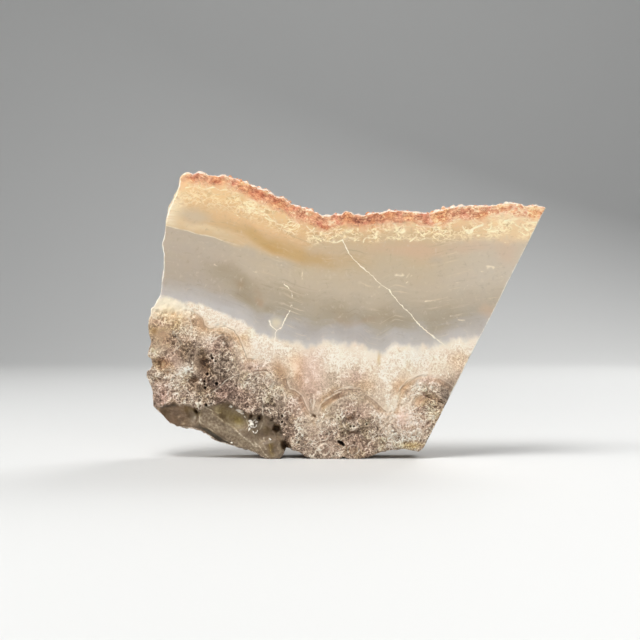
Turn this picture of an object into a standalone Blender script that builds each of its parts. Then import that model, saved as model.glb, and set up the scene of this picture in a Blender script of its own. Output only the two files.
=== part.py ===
"""A hokkaidoite slice: a slab of banded opal sinter, sawn from a crusted seam and stood on its foot.

The stone grew upwards. Knobbly growth shells, full of pits, are at the foot, clear banded opal is
above them, and an iron-stained crust runs along the top. Two parallel saw cuts make the faces and
a third one the slanting end. The crust and the foot are as they grew, and the left edge is broken.
Metres, +Z up, front face towards -Y. The origin is under the middle of the slice, on the surface
that it stands on.
"""

import math

import bmesh
import bpy
import numpy as np
from mathutils import Matrix, Vector

MM = 0.001

# Driving dimensions.
THICKNESS = 10.0 * MM
SAW_TOP = Vector((40.0, 0.0, 50.3)) * MM  # the tip, where the end cut meets the crust
SAW_FOOT = Vector((15.6, 0.0, 2.3)) * MM
EDGE_STEP = 1.15 * MM  # spacing of the edge's points
RINGS = 7  # cuts across the thickness, between the two faces

# The edge as seen from the front, in millimetres: (x, z), anticlockwise from the tip. Crust and
# foot run on a little past the end cut, which trims them.
CRUST = [
    (42.8, 49.8), (40.0, 50.5), (36.1, 50.7), (32.8, 51.3), (29.9, 50.9), (22.4, 50.6),
    (18.4, 49.6), (14.0, 49.4), (8.6, 49.7), (3.6, 48.8), (0.1, 49.5), (-2.1, 48.9),
    (-4.5, 48.7), (-9.1, 50.5), (-12.4, 52.4), (-13.9, 52.6), (-15.4, 53.6), (-20.3, 55.5),
    (-24.2, 56.9), (-29.4, 57.3), (-30.5, 56.8), (-32.0, 57.2),
]  # fmt: skip
BREAK = [
    (-33.1, 56.2), (-33.4, 54.7), (-35.1, 50.4), (-36.0, 47.6), (-36.2, 44.6), (-36.8, 42.9),
    (-36.4, 40.6), (-36.6, 36.0), (-37.2, 32.7), (-38.9, 30.3), (-39.1, 28.6), (-39.4, 26.4),
    (-39.3, 24.8), (-38.8, 23.4), (-39.7, 20.8), (-38.8, 19.6), (-38.7, 18.2), (-39.8, 17.4),
    (-39.7, 16.3), (-38.7, 14.2), (-38.5, 11.0),
]  # fmt: skip
FOOT = [
    (-37.5, 9.4), (-36.0, 7.8), (-33.8, 6.7), (-31.0, 6.5), (-29.2, 6.3), (-26.0, 4.3),
    (-22.8, 2.7), (-19.5, 1.7), (-16.6, 0.4), (-14.3, -0.9), (-12.9, 0.3), (-11.5, 2.3),
    (-9.9, 1.5), (-8.1, 0.3), (-4.0, -0.6), (-1.8, -0.6), (-0.5, 0.1), (2.1, -0.7), (5.2, 0.2),
    (6.8, 1.2), (12.0, 1.9), (14.5, 1.6), (18.6, 2.4),
]  # fmt: skip

# How each kind of edge strays from a square cut, in millimetres: a bow between the faces, a slow
# drift that grows towards the back, and a grain.
CRUST_RELIEF = {"bow": 0.2, "drift": 0.8, "grain": 0.5}
BREAK_RELIEF = {"bow": 0.3, "drift": 1.2, "grain": 0.4}
FOOT_RELIEF = {"bow": 0.4, "drift": 0.8, "grain": 0.6}
DRIFT_SIZE = 8.0
GRAIN_SIZE = 2.4

# Growth shells, from left to right, in millimetres: (x, z, radius). Pits stay inside them.
SHELLS = [
    (-34.8, 22.6, 8.2), (-26.2, 20.0, 6.6), (-17.6, 13.8, 6.5), (-12.4, 8.4, 5.9),
    (1.0, 6.2, 7.9), (16.2, 11.2, 5.5),
]  # fmt: skip
VALLEY = 8.5  # how high the pitted ground reaches between two shells

# Open pits of the front face, in millimetres: (x, z, half width, half height, slope in degrees).
FRONT_PITS = [
    (-26.8, 20.4, 0.6, 0.9, 20), (-27.8, 16.7, 0.7, 0.7, 0), (-28.2, 14.9, 0.5, 0.8, 10),
    (-25.9, 15.1, 0.8, 0.6, 0), (-28.1, 10.7, 0.5, 0.5, 0), (-19.2, 8.5, 0.8, 0.5, 50),
    (-17.5, 7.9, 0.4, 0.7, 0), (-12.9, 8.6, 0.5, 0.5, 0), (-12.7, 7.2, 0.5, 0.4, 0),
    (-14.0, 6.0, 0.8, 1.2, 25), (0.9, 7.8, 1.0, 0.7, 0), (2.5, 7.5, 0.4, 0.8, 20),
    (-0.9, 3.1, 1.0, 0.45, -35), (-6.5, 8.8, 0.6, 0.5, 0), (16.4, 12.4, 1.4, 0.5, -20),
    (19.3, 11.5, 1.5, 0.5, -20), (-35.8, 16.4, 1.0, 0.8, 30), (-37.6, 18.6, 1.3, 1.5, 0),
    (25.7, 20.1, 0.9, 0.5, 0),
]  # fmt: skip
BACK_PITS = 14
PIT_DEPTH = 1.3
PIT_RISE = 0.17  # how far outside the face a pit is centred
SPECKS = 18  # small random pits of the front face

# Broken ground at the lower left, in millimetres and degrees: scoops with their centre, half sizes
# and slope, and a blade that is left standing among them.
SCOOPS = [
    ((-35.4, -6.6, 6.2), (6.4, 3.5, 4.9), -14), ((-23.0, -6.8, 4.6), (11.6, 4.0, 4.6), -30),
    ((-22.7, -5.4, 8.2), (3.6, 2.3, 2.5), -32), ((-17.0, -5.2, 6.5), (3.8, 2.0, 2.3), -34),
    ((-27.6, -5.5, 18.4), (2.2, 1.5, 3.6), 10), ((-11.2, -4.6, 1.6), (1.6, 3.4, 1.5), -35),
    ((-1.4, -5.4, 4.6), (2.8, 1.3, 1.2), -12), ((17.6, -5.6, 12.0), (3.4, 1.6, 1.5), -22),
]  # fmt: skip
BLADE = {"at": (-23.9, -3.3, 5.45), "size": (14.4, 2.6, 2.9), "slope": -36, "twist": 9}

# Small crystals in the hollow above the blade, in millimetres and degrees: (x, z, length, width,
# lean).
CRYSTALS = [
    (-22.4, 9.2, 2.6, 1.2, 55), (-20.9, 8.8, 2.4, 1.0, 75), (-18.4, 6.9, 2.4, 1.1, 12),
    (-17.2, 6.2, 2.2, 0.9, 40), (-18.6, 4.9, 2.0, 0.9, 80),
]  # fmt: skip

CRYSTAL_ROOT = 2.3 * MM  # how far behind the front face the crystals start

STONE_COLOUR = (0.61, 0.50, 0.37, 1.0)
STONE_ROUGHNESS = 0.55


def rough(x, y, z, size, seed):
    """Smooth noise from -1 to 1 at points in millimetres: the eight lattice values round each
    point, one every size millimetres, blended by a smooth step along each axis."""
    cell = np.stack([np.atleast_1d(v) / size for v in np.broadcast_arrays(x, y, z)])
    low = np.floor(cell)
    step = cell - low
    step = step * step * (3 - 2 * step)
    low = low.astype(np.int64)
    total = 0.0
    for dx, dy, dz in np.ndindex(2, 2, 2):
        mixed = (low[0] + dx) * 73856093 ^ (low[1] + dy) * 19349663 ^ (low[2] + dz) * 83492791
        mixed = (mixed ^ seed * 40503) & 0xFFFFFFFF
        mixed = ((mixed ^ mixed >> 15) * 2246822519) & 0xFFFFFFFF
        mixed = ((mixed ^ mixed >> 13) * 3266489917) & 0xFFFFFFFF
        value = (mixed ^ mixed >> 16) / 0x7FFFFFFF - 1
        share = [s if d else 1 - s for s, d in zip(step, (dx, dy, dz))]
        total = total + value * share[0] * share[1] * share[2]
    return total


def edge():
    """The whole edge as evenly spaced points in millimetres, with each point's outward normal
    and its relief: bow, drift and grain."""
    runs = [(CRUST, CRUST_RELIEF), (BREAK, BREAK_RELIEF), (FOOT, FOOT_RELIEF)]
    corners = np.array([corner for run, _ in runs for corner in run])
    relief = np.array([list(kind.values()) for run, kind in runs for _ in run])
    closed = np.vstack([corners, corners[:1]])
    lengths = np.linalg.norm(np.diff(closed, axis=0), axis=1)
    along = np.concatenate([[0], np.cumsum(lengths)])
    # The last side is the end that is sawn off, so it needs no points of its own.
    count = round(along[-2] / (EDGE_STEP / MM))
    at = np.linspace(0, along[-2], count)
    points = np.stack([np.interp(at, along, closed[:, k]) for k in (0, 1)], axis=1)
    relief = np.stack([np.interp(at, along[:-1], relief[:, k]) for k in range(3)], axis=1)
    near = np.exp(-0.5 * (np.arange(-6, 7) / 3) ** 2)
    heading = np.gradient(points, axis=0)
    heading = np.stack([np.convolve(heading[:, k], near, "same") for k in (0, 1)], axis=1)
    normals = np.stack([heading[:, 1], -heading[:, 0]], axis=1)
    normals /= np.linalg.norm(normals, axis=1)[:, None]
    return points, normals, relief


def collection(name):
    made = bpy.data.collections.new(name)
    bpy.context.scene.collection.children.link(made)
    return made


def mesh_object(name, bm, home, tool=False):
    """A new object from a bmesh. A tool only shapes the stone, so it isn't rendered."""
    mesh = bpy.data.meshes.new(name)
    bm.to_mesh(mesh)
    bm.free()
    made = bpy.data.objects.new(name, mesh)
    home.objects.link(made)
    if tool:
        made.hide_render = True
        made.display_type = "WIRE"
    return made


def blank(home):
    """The rough slab: the edge's outline filled and given its thickness, cut into rings between
    the faces, and each ring pushed out by the relief of its stretch of the edge."""
    points, normals, relief = edge()
    curve = bpy.data.curves.new("edge", "CURVE")
    curve.dimensions = "2D"
    curve.fill_mode = "BOTH"
    curve.extrude = THICKNESS / 2
    spline = curve.splines.new("POLY")
    spline.points.add(len(points) - 1)
    for target, (x, z) in zip(spline.points, points * MM):
        target.co = (x, z, 0, 1)
    spline.use_cyclic_u = True
    flat = bpy.data.objects.new("edge", curve)
    flat.matrix_world = Matrix.Rotation(math.pi / 2, 4, "X")
    home.objects.link(flat)
    bpy.context.view_layer.update()
    evaluated = flat.evaluated_get(bpy.context.evaluated_depsgraph_get())
    bm = bmesh.new()
    bm.from_mesh(bpy.data.meshes.new_from_object(evaluated))
    bm.transform(flat.matrix_world)
    bpy.data.objects.remove(flat)
    bmesh.ops.remove_doubles(bm, verts=bm.verts, dist=0.01 * MM)
    for side in (-1, 1):
        sheet = [f for f in bm.faces if f.calc_center_median().y * side > 0.49 * THICKNESS]
        bmesh.ops.dissolve_faces(bm, faces=sheet)
    for share in np.arange(1, RINGS + 1) / (RINGS + 1):
        ring = Vector((0, (share - 0.5) * THICKNESS, 0))
        everything = bm.verts[:] + bm.edges[:] + bm.faces[:]
        bmesh.ops.bisect_plane(bm, geom=everything, plane_co=ring, plane_no=(0, 1, 0))
    spots = np.array([v.co for v in bm.verts]) / MM
    nearest = np.argmin(
        np.linalg.norm(spots[:, None, [0, 2]] - points[None], axis=2), axis=1
    )
    bow, drift, grain = relief[nearest].T
    x, y, z = spots.T
    depth = y * MM / THICKNESS + 0.5
    bulge = bow * 4 * depth * (1 - depth)
    for axis, seed in ((0, 1), (1, 5)):
        shift = drift * depth * rough(x, y, z, DRIFT_SIZE, seed)
        shift += grain * (0.4 + 0.6 * depth) * rough(x, y, z, GRAIN_SIZE, seed + 1)
        spots[:, 2 * axis] += shift + bulge * normals[nearest, axis]
    for vert, spot in zip(bm.verts, spots * MM):
        vert.co = spot
    return bm


def saw(bm, point, normal):
    """Cuts off all that lies beyond a plane and closes the stone with the flat that it leaves."""
    everything = bm.verts[:] + bm.edges[:] + bm.faces[:]
    cut = bmesh.ops.bisect_plane(
        bm, geom=everything, dist=1e-7, plane_co=point, plane_no=normal, clear_outer=True
    )
    rim = [e for e in cut["geom_cut"] if isinstance(e, bmesh.types.BMEdge) and e.is_boundary]
    bmesh.ops.edgeloop_fill(bm, edges=rim)
    bmesh.ops.recalc_face_normals(bm, faces=bm.faces)


def hollow(at, half, slope, seed, home, detail=2, lumpy=0.12):
    """A lumpy ball that cuts a hollow: an icosphere, scaled to its half sizes and turned."""
    bm = bmesh.new()
    bmesh.ops.create_icosphere(bm, subdivisions=detail, radius=1)
    spots = np.array([v.co for v in bm.verts])
    for vert, lump in zip(bm.verts, rough(*spots.T, size=0.6, seed=seed)):
        vert.co *= 1 + lumpy * lump
    bmesh.ops.scale(bm, vec=Vector(half) * MM, verts=bm.verts)
    turn = Matrix.Rotation(math.radians(-slope), 3, "Y")
    bmesh.ops.rotate(bm, matrix=turn, verts=bm.verts)
    bmesh.ops.translate(bm, vec=Vector(at) * MM, verts=bm.verts)
    mesh_object(f"hollow {seed}", bm, home, tool=True)


def skyline(x):
    """The height of the growth shells' outer line at x: the highest arc there, or the valley."""
    tops = [z + math.sqrt(max(0, r * r - (x - at) ** 2)) for at, z, r in SHELLS if abs(x - at) < r]
    return max([VALLEY, *tops])


def blade(at, size, slope, twist, home):
    """A long flat bar with bevelled edges."""
    bm = bmesh.new()
    bmesh.ops.create_cube(bm, size=1)
    bmesh.ops.scale(bm, vec=Vector(size) * MM, verts=bm.verts)
    edges = bm.edges[:]
    bmesh.ops.bevel(bm, geom=edges, offset=0.7 * MM, segments=2, profile=0.5, affect="EDGES")
    bmesh.ops.rotate(bm, matrix=Matrix.Rotation(math.radians(twist), 3, "X"), verts=bm.verts)
    bmesh.ops.rotate(bm, matrix=Matrix.Rotation(math.radians(-slope), 3, "Y"), verts=bm.verts)
    bmesh.ops.translate(bm, vec=Vector(at) * MM, verts=bm.verts)
    mesh_object("blade", bm, home, tool=True)


def crystal(x, z, length, width, lean, home):
    """A six-sided crystal with a point, rooted in the hollow's floor and leaning out of it."""
    bm = bmesh.new()
    stem, point = 0.7 * length * MM, 0.3 * length * MM
    radius = width / 2 * MM
    stand = Matrix.Translation((0, 0, stem / 2))
    bmesh.ops.create_cone(
        bm, cap_ends=True, segments=6, radius1=radius, radius2=radius, depth=stem, matrix=stand
    )
    top = max(bm.faces, key=lambda face: face.calc_center_median().z)
    bmesh.ops.poke(bm, faces=[top], offset=point)
    root = Matrix.Translation(Vector((x * MM, CRYSTAL_ROOT - THICKNESS / 2, z * MM)))
    turn = Matrix.Rotation(math.radians(lean), 4, "Y") @ Matrix.Rotation(math.radians(55), 4, "X")
    bm.transform(root @ turn)
    mesh_object("crystal", bm, home, tool=True)


def pits(rng):
    """Every open pit: the named ones of the front face, and random ones low on both faces."""
    face = THICKNESS / 2 / MM + PIT_RISE
    for x, z, half_x, half_z, slope in FRONT_PITS:
        yield (x, -face, z), (half_x, PIT_DEPTH, half_z), slope
    for side, count in ((-1, SPECKS), (1, BACK_PITS)):
        for _ in range(count):
            x = rng.uniform(-35, 16)
            z = rng.uniform(3.5, skyline(x) - 2)
            wide, tall = rng.uniform(0.4, 0.7, 2)
            yield (x, side * face, z), (wide, 1.0, tall), rng.uniform(-60, 60)


def stone_material():
    material = bpy.data.materials.new("opal sinter")
    material.use_nodes = True
    shader = material.node_tree.nodes["Principled BSDF"]
    shader.inputs["Base Color"].default_value = STONE_COLOUR
    shader.inputs["Roughness"].default_value = STONE_ROUGHNESS
    shader.inputs["Metallic"].default_value = 0.0
    return material


def main():
    for old in list(bpy.data.objects):
        bpy.data.objects.remove(old)
    home = collection("hokkaidoite_slice")
    hollows = collection("hollows")
    growths = collection("growths")

    bm = blank(home)
    along = SAW_TOP - SAW_FOOT
    saw(bm, SAW_TOP, Vector((along.z, 0, -along.x)).normalized())
    saw(bm, Vector(), Vector((0, 0, -1)))
    bmesh.ops.remove_doubles(bm, verts=bm.verts, dist=0.04 * MM)
    reach = [v.co.x for v in bm.verts]
    bmesh.ops.translate(bm, vec=(-(min(reach) + max(reach)) / 2, 0, 0), verts=bm.verts)
    stone = mesh_object("slice", bm, home)
    stone.data.materials.append(stone_material())

    for number, (at, half, slope) in enumerate(SCOOPS):
        hollow(at, half, slope, 60 + number, hollows, detail=3, lumpy=0.1)
    for number, (at, half, slope) in enumerate(pits(np.random.default_rng(7))):
        hollow(at, half, slope, 100 + number, hollows)
    blade(home=growths, **BLADE)
    for spot in CRYSTALS:
        crystal(*spot, growths)
    for name, shapes, operation in (
        ("Hollows", hollows, "DIFFERENCE"),
        ("Growths", growths, "UNION"),
    ):
        modifier = stone.modifiers.new(name, "BOOLEAN")
        modifier.operation = operation
        modifier.operand_type = "COLLECTION"
        modifier.collection = shapes
        modifier.solver = "EXACT"
        modifier.use_self = True


main()
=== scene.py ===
import math

import bpy
import numpy as np
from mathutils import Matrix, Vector


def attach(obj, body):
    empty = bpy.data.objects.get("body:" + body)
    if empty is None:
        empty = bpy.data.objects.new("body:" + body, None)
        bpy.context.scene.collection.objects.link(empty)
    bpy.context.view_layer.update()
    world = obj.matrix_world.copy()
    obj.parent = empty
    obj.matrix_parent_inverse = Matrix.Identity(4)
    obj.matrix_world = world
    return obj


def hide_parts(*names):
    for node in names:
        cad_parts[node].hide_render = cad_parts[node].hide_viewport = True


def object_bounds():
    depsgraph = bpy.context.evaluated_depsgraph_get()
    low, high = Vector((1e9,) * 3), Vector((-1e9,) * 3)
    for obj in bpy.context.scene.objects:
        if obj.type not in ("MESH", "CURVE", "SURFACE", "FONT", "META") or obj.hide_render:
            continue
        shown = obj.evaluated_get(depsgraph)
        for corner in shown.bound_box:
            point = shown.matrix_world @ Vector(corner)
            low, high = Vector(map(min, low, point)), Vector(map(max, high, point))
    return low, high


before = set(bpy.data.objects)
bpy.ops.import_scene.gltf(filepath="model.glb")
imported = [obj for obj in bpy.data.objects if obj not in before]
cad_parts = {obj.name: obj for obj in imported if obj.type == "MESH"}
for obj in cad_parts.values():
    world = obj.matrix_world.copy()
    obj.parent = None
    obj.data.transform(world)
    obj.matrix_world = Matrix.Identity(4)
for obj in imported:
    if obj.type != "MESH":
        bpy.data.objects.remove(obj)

cad_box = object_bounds()

# ---------------------------------------------------------------------------------------------
# The slab's edge
# The slice is one piece of grown stone. Its crusted top and knobbly foot are natural surfaces,
# its left edge is broken, and its right end is one straight saw cut. Here the four edges of the
# front face are set out in millimetres, x along the face and z up.

thickness = 10.0


def traced(*numbers):
    """The corners of a line in millimetres, from x and z by turns in tenths of a millimetre."""
    return np.reshape(numbers, (-1, 2)) / 10


crust_edge = traced(
    -326, 570, -320, 574, -312, 573.5, -305, 570, -299, 573, -294, 575, -283, 573, -274, 569,
    -267, 570, -254, 568, -242, 570, -225, 563, -203, 556, -184, 548, -171, 542, -154, 537,
    -146, 530, -139, 527, -124, 526, -116, 518, -109, 512, -91, 506, -66, 498, -55, 492, -45, 488,
    -33, 488, -21, 491, -10, 490, 0, 498, 9, 496, 16, 491, 36, 489, 55, 494, 72, 494, 86, 498,
    111, 498, 140, 496, 170, 493, 184, 497, 201, 503, 224, 508, 266, 508, 299, 510, 328, 514,
    347, 512, 361, 508, 386, 508, 400, 503,
)
break_edge = traced(
    -386, 106, -388, 134, -392, 149, -399, 166, -399, 175, -392, 179, -388, 188, -390, 199,
    -398, 207, -395, 216, -390, 236, -396, 253, -396, 266, -391, 290, -391, 301, -384, 305,
    -379, 318, -373, 325, -368, 357, -365, 384, -365, 411, -369, 429, -364, 445, -362, 464,
    -360, 480, -352, 504, -341, 528, -334, 547, -332, 563, -326, 570,
)
foot_edge = traced(
    -386, 106, -377, 95, -362, 77, -340, 64, -310, 61, -291, 56, -276, 45, -260, 34, -228, 25,
    -195, 17, -176, 10, -161, 1, -143, -5, -128, 4, -121, 19, -112, 21, -99, 15, -81, 4, -65, -1,
    -40, -4, -29, 0, -18, -3, -5, 4, 7, -2, 21, -5, 35, 1, 52, 5, 68, 14, 84, 16, 103, 19, 120, 19,
    145, 15, 156, 23,
)
saw_end = np.array([foot_edge[-1], crust_edge[-1]])


def walk(corners, places):
    """Points at given shares of a line's length: the lengths between its corners are summed, and
    x and z are read off between the two corners on either side of each place."""
    reach = np.concatenate([[0.0], np.cumsum(np.hypot(*np.diff(corners, axis=0).T))])
    return np.stack([np.interp(places * reach[-1], reach, axis) for axis in corners.T], axis=-1)


lattice = np.random.default_rng(11)
shuffle = lattice.permutation(256)
slopes = lattice.normal(size=(256, 3))
slopes /= np.linalg.norm(slopes, axis=1)[:, None]


def slope_at(corner, seed):
    """The random slope of a lattice's corner: its three whole numbers and the seed are shuffled
    into one another, and the result picks one slope of the list."""
    across, deep, up = np.moveaxis(corner, -1, 0)
    mixed = shuffle[(across + 37 * seed) % 256] + deep
    return slopes[shuffle[(shuffle[mixed % 256] + up) % 256]]


def grit(places, size, seed=0):
    """Smooth noise of about -1 to 1. Every corner of a lattice of the given size has a random
    slope. A place takes the eight slopes round it, each times its own offset from that corner,
    blended along the three axes by 6t^5 - 15t^4 + 10t^3."""
    cell = np.floor(places / size).astype(int)
    part = places / size - cell
    ease = part**3 * (part * (part * 6 - 15) + 10)
    total = 0.0
    for corner in np.ndindex(2, 2, 2):
        share = np.prod(np.where(corner, ease, 1 - ease), axis=-1)
        total = total + share * np.sum(slope_at(cell + corner, seed) * (part - corner), axis=-1)
    return 1.6 * total


def weathered(places, size, layers, seed=0):
    """Grit on grit: each further layer is half as large and half as strong as the one before."""
    return sum(0.5**n * grit(places, size * 0.5**n, seed + n) for n in range(layers))


def bubbles(places, size, seed=0):
    """How far each place is from the nearest bubble, one of which floats at a random spot in
    each cell of a lattice of the given size, as a share of that size."""
    cell = np.floor(places / size).astype(int)
    part = places / size - cell
    nearest = np.full(places.shape[:-1], 9.0)
    for step in np.ndindex(3, 3, 3):
        step = np.array(step) - 1
        spot = step + 0.5 + 0.45 * slope_at(cell + step, seed)
        nearest = np.minimum(nearest, np.linalg.norm(spot - part, axis=-1))
    return nearest


def smooth(value, low, high):
    """0 below low, 1 above high, and 3t^2 - 2t^3 between them."""
    t = np.clip((value - low) / (high - low), 0, 1)
    return t * t * (3 - 2 * t)


# ---------------------------------------------------------------------------------------------
# What lies where in the stone
# The seam grew in sheets: a pitted sinter of round growth shells at the foot, clear banded opal
# over it, then cream opal and an iron-stained crust. These lines say how high each begins, and
# the same fields shape the surface and colour it.

sinter_line = traced(
    -420, 300, -392, 312, -372, 324, -310, 312, -252, 292, -218, 282, -188, 264, -178, 249,
    -148, 246, -114, 238, -92, 229, -60, 225, -46, 237, -26, 238, -12, 227, 6, 227, 18, 239,
    30, 232, 44, 216, 68, 210, 84, 222, 98, 232, 114, 228, 130, 223, 188, 228, 228, 238, 272, 246,
    420, 270,
)
cream_line = traced(
    -420, 474, -362, 467, -332, 459, -316, 456, -299, 450, -281, 447, -263, 443, -250, 437,
    -228, 430, -184, 420, -158, 410, -130, 402, -96, 398, -66, 426, -46, 436, -24, 431, -3, 438,
    28, 434, 58, 434, 88, 438, 120, 439, 168, 432, 228, 436, 254, 440, 288, 438, 340, 432,
    380, 434, 420, 436,
)
shell_line = traced(
    -420, 308, -392, 312, -376, 316, -362, 317, -349, 310, -322, 300, -300, 294, -286, 282,
    -283, 268, -275, 262, -254, 266, -240, 266, -223, 258, -212, 240, -203, 219, -197, 203,
    -182, 201, -164, 202, -151, 197, -134, 180, -119, 164, -117, 150, -112, 140, -103, 138,
    -88, 126, -77, 100, -66, 86, -57, 89, -50, 108, -32, 122, -14, 133, 4, 141, 19, 140, 36, 131,
    55, 119, 68, 106, 82, 94, 96, 98, 103, 120, 110, 142, 124, 154, 142, 166, 165, 169, 186, 162,
    206, 150, 224, 136, 260, 120,
)
white_vein = traced(
    -7, 438, -1, 426, 6, 411, 17, 398, 29, 386, 41, 376, 54, 365, 65, 353, 73, 347, 86, 339,
    96, 324, 106, 312, 117, 301, 128, 291, 138, 278, 151, 264, 164, 253, 177, 243, 193, 231,
    203, 223,
)
fork_left = traced(-153, 276, -151, 269, -147, 263, -140, 258)
fork_right = traced(
    -127, 354, -122, 348, -115, 343, -110, 335, -108, 329, -106, 317, -110, 302, -115, 292,
    -122, 279, -127, 269, -131, 261, -140, 256, -142, 244, -143, 228, -145, 206,
)


def height_over(line, x, z):
    """How far a point is above a line, straight up: its z less the line's z at its x."""
    return z - np.interp(x, *line.T)


def off_line(line, x, z):
    """The distance across a line, positive to its left, and how far past its ends a point is.
    Each point takes the nearest of the line's straight stretches."""
    start, span = line[:-1], np.diff(line, axis=0)
    size = np.hypot(*span.T)
    gap = np.stack([x, z], axis=-1)[..., None, :] - start
    along = np.sum(gap * span, axis=-1) / size
    held = np.clip(along, 0, size)
    far = np.linalg.norm(gap - (held / size)[..., None] * span, axis=-1)
    near = np.argmin(far, axis=-1)[..., None]
    side = (span[:, 0] * gap[..., 1] - span[:, 1] * gap[..., 0]) / size
    pick = lambda values: np.take_along_axis(values, near, axis=-1)[..., 0]
    last = len(size) - 1
    past = np.where(near[..., 0] == last, pick(along) - size[-1], 0)
    past = np.maximum(past, np.where(near[..., 0] == 0, -pick(along), 0))
    return pick(side), np.maximum(past, 0)


def shell_depth(x, z):
    """How deep inside the growth shells a point is: its distance from the shells' outer line,
    and negative outside it."""
    across, past = off_line(shell_line, x, z)
    return -np.sign(height_over(shell_line, x, z)) * np.hypot(across, past)


def turned(x, z, slope):
    """The steps x and z, measured along and aside of a slope in degrees."""
    turn = np.radians(slope)
    return x * np.cos(turn) + z * np.sin(turn), z * np.cos(turn) - x * np.sin(turn)


def arc(x, z, half_x, half_z, start, end):
    """Corners on part of an ellipse's rim, between two angles in degrees, as tenths of a
    millimetre from an ellipse in millimetres."""
    turn = np.radians(np.linspace(start, end, 9))
    rim = np.stack([x + half_x * np.cos(turn), z + half_z * np.sin(turn)], axis=-1)
    return 10 * rim.ravel()


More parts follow.
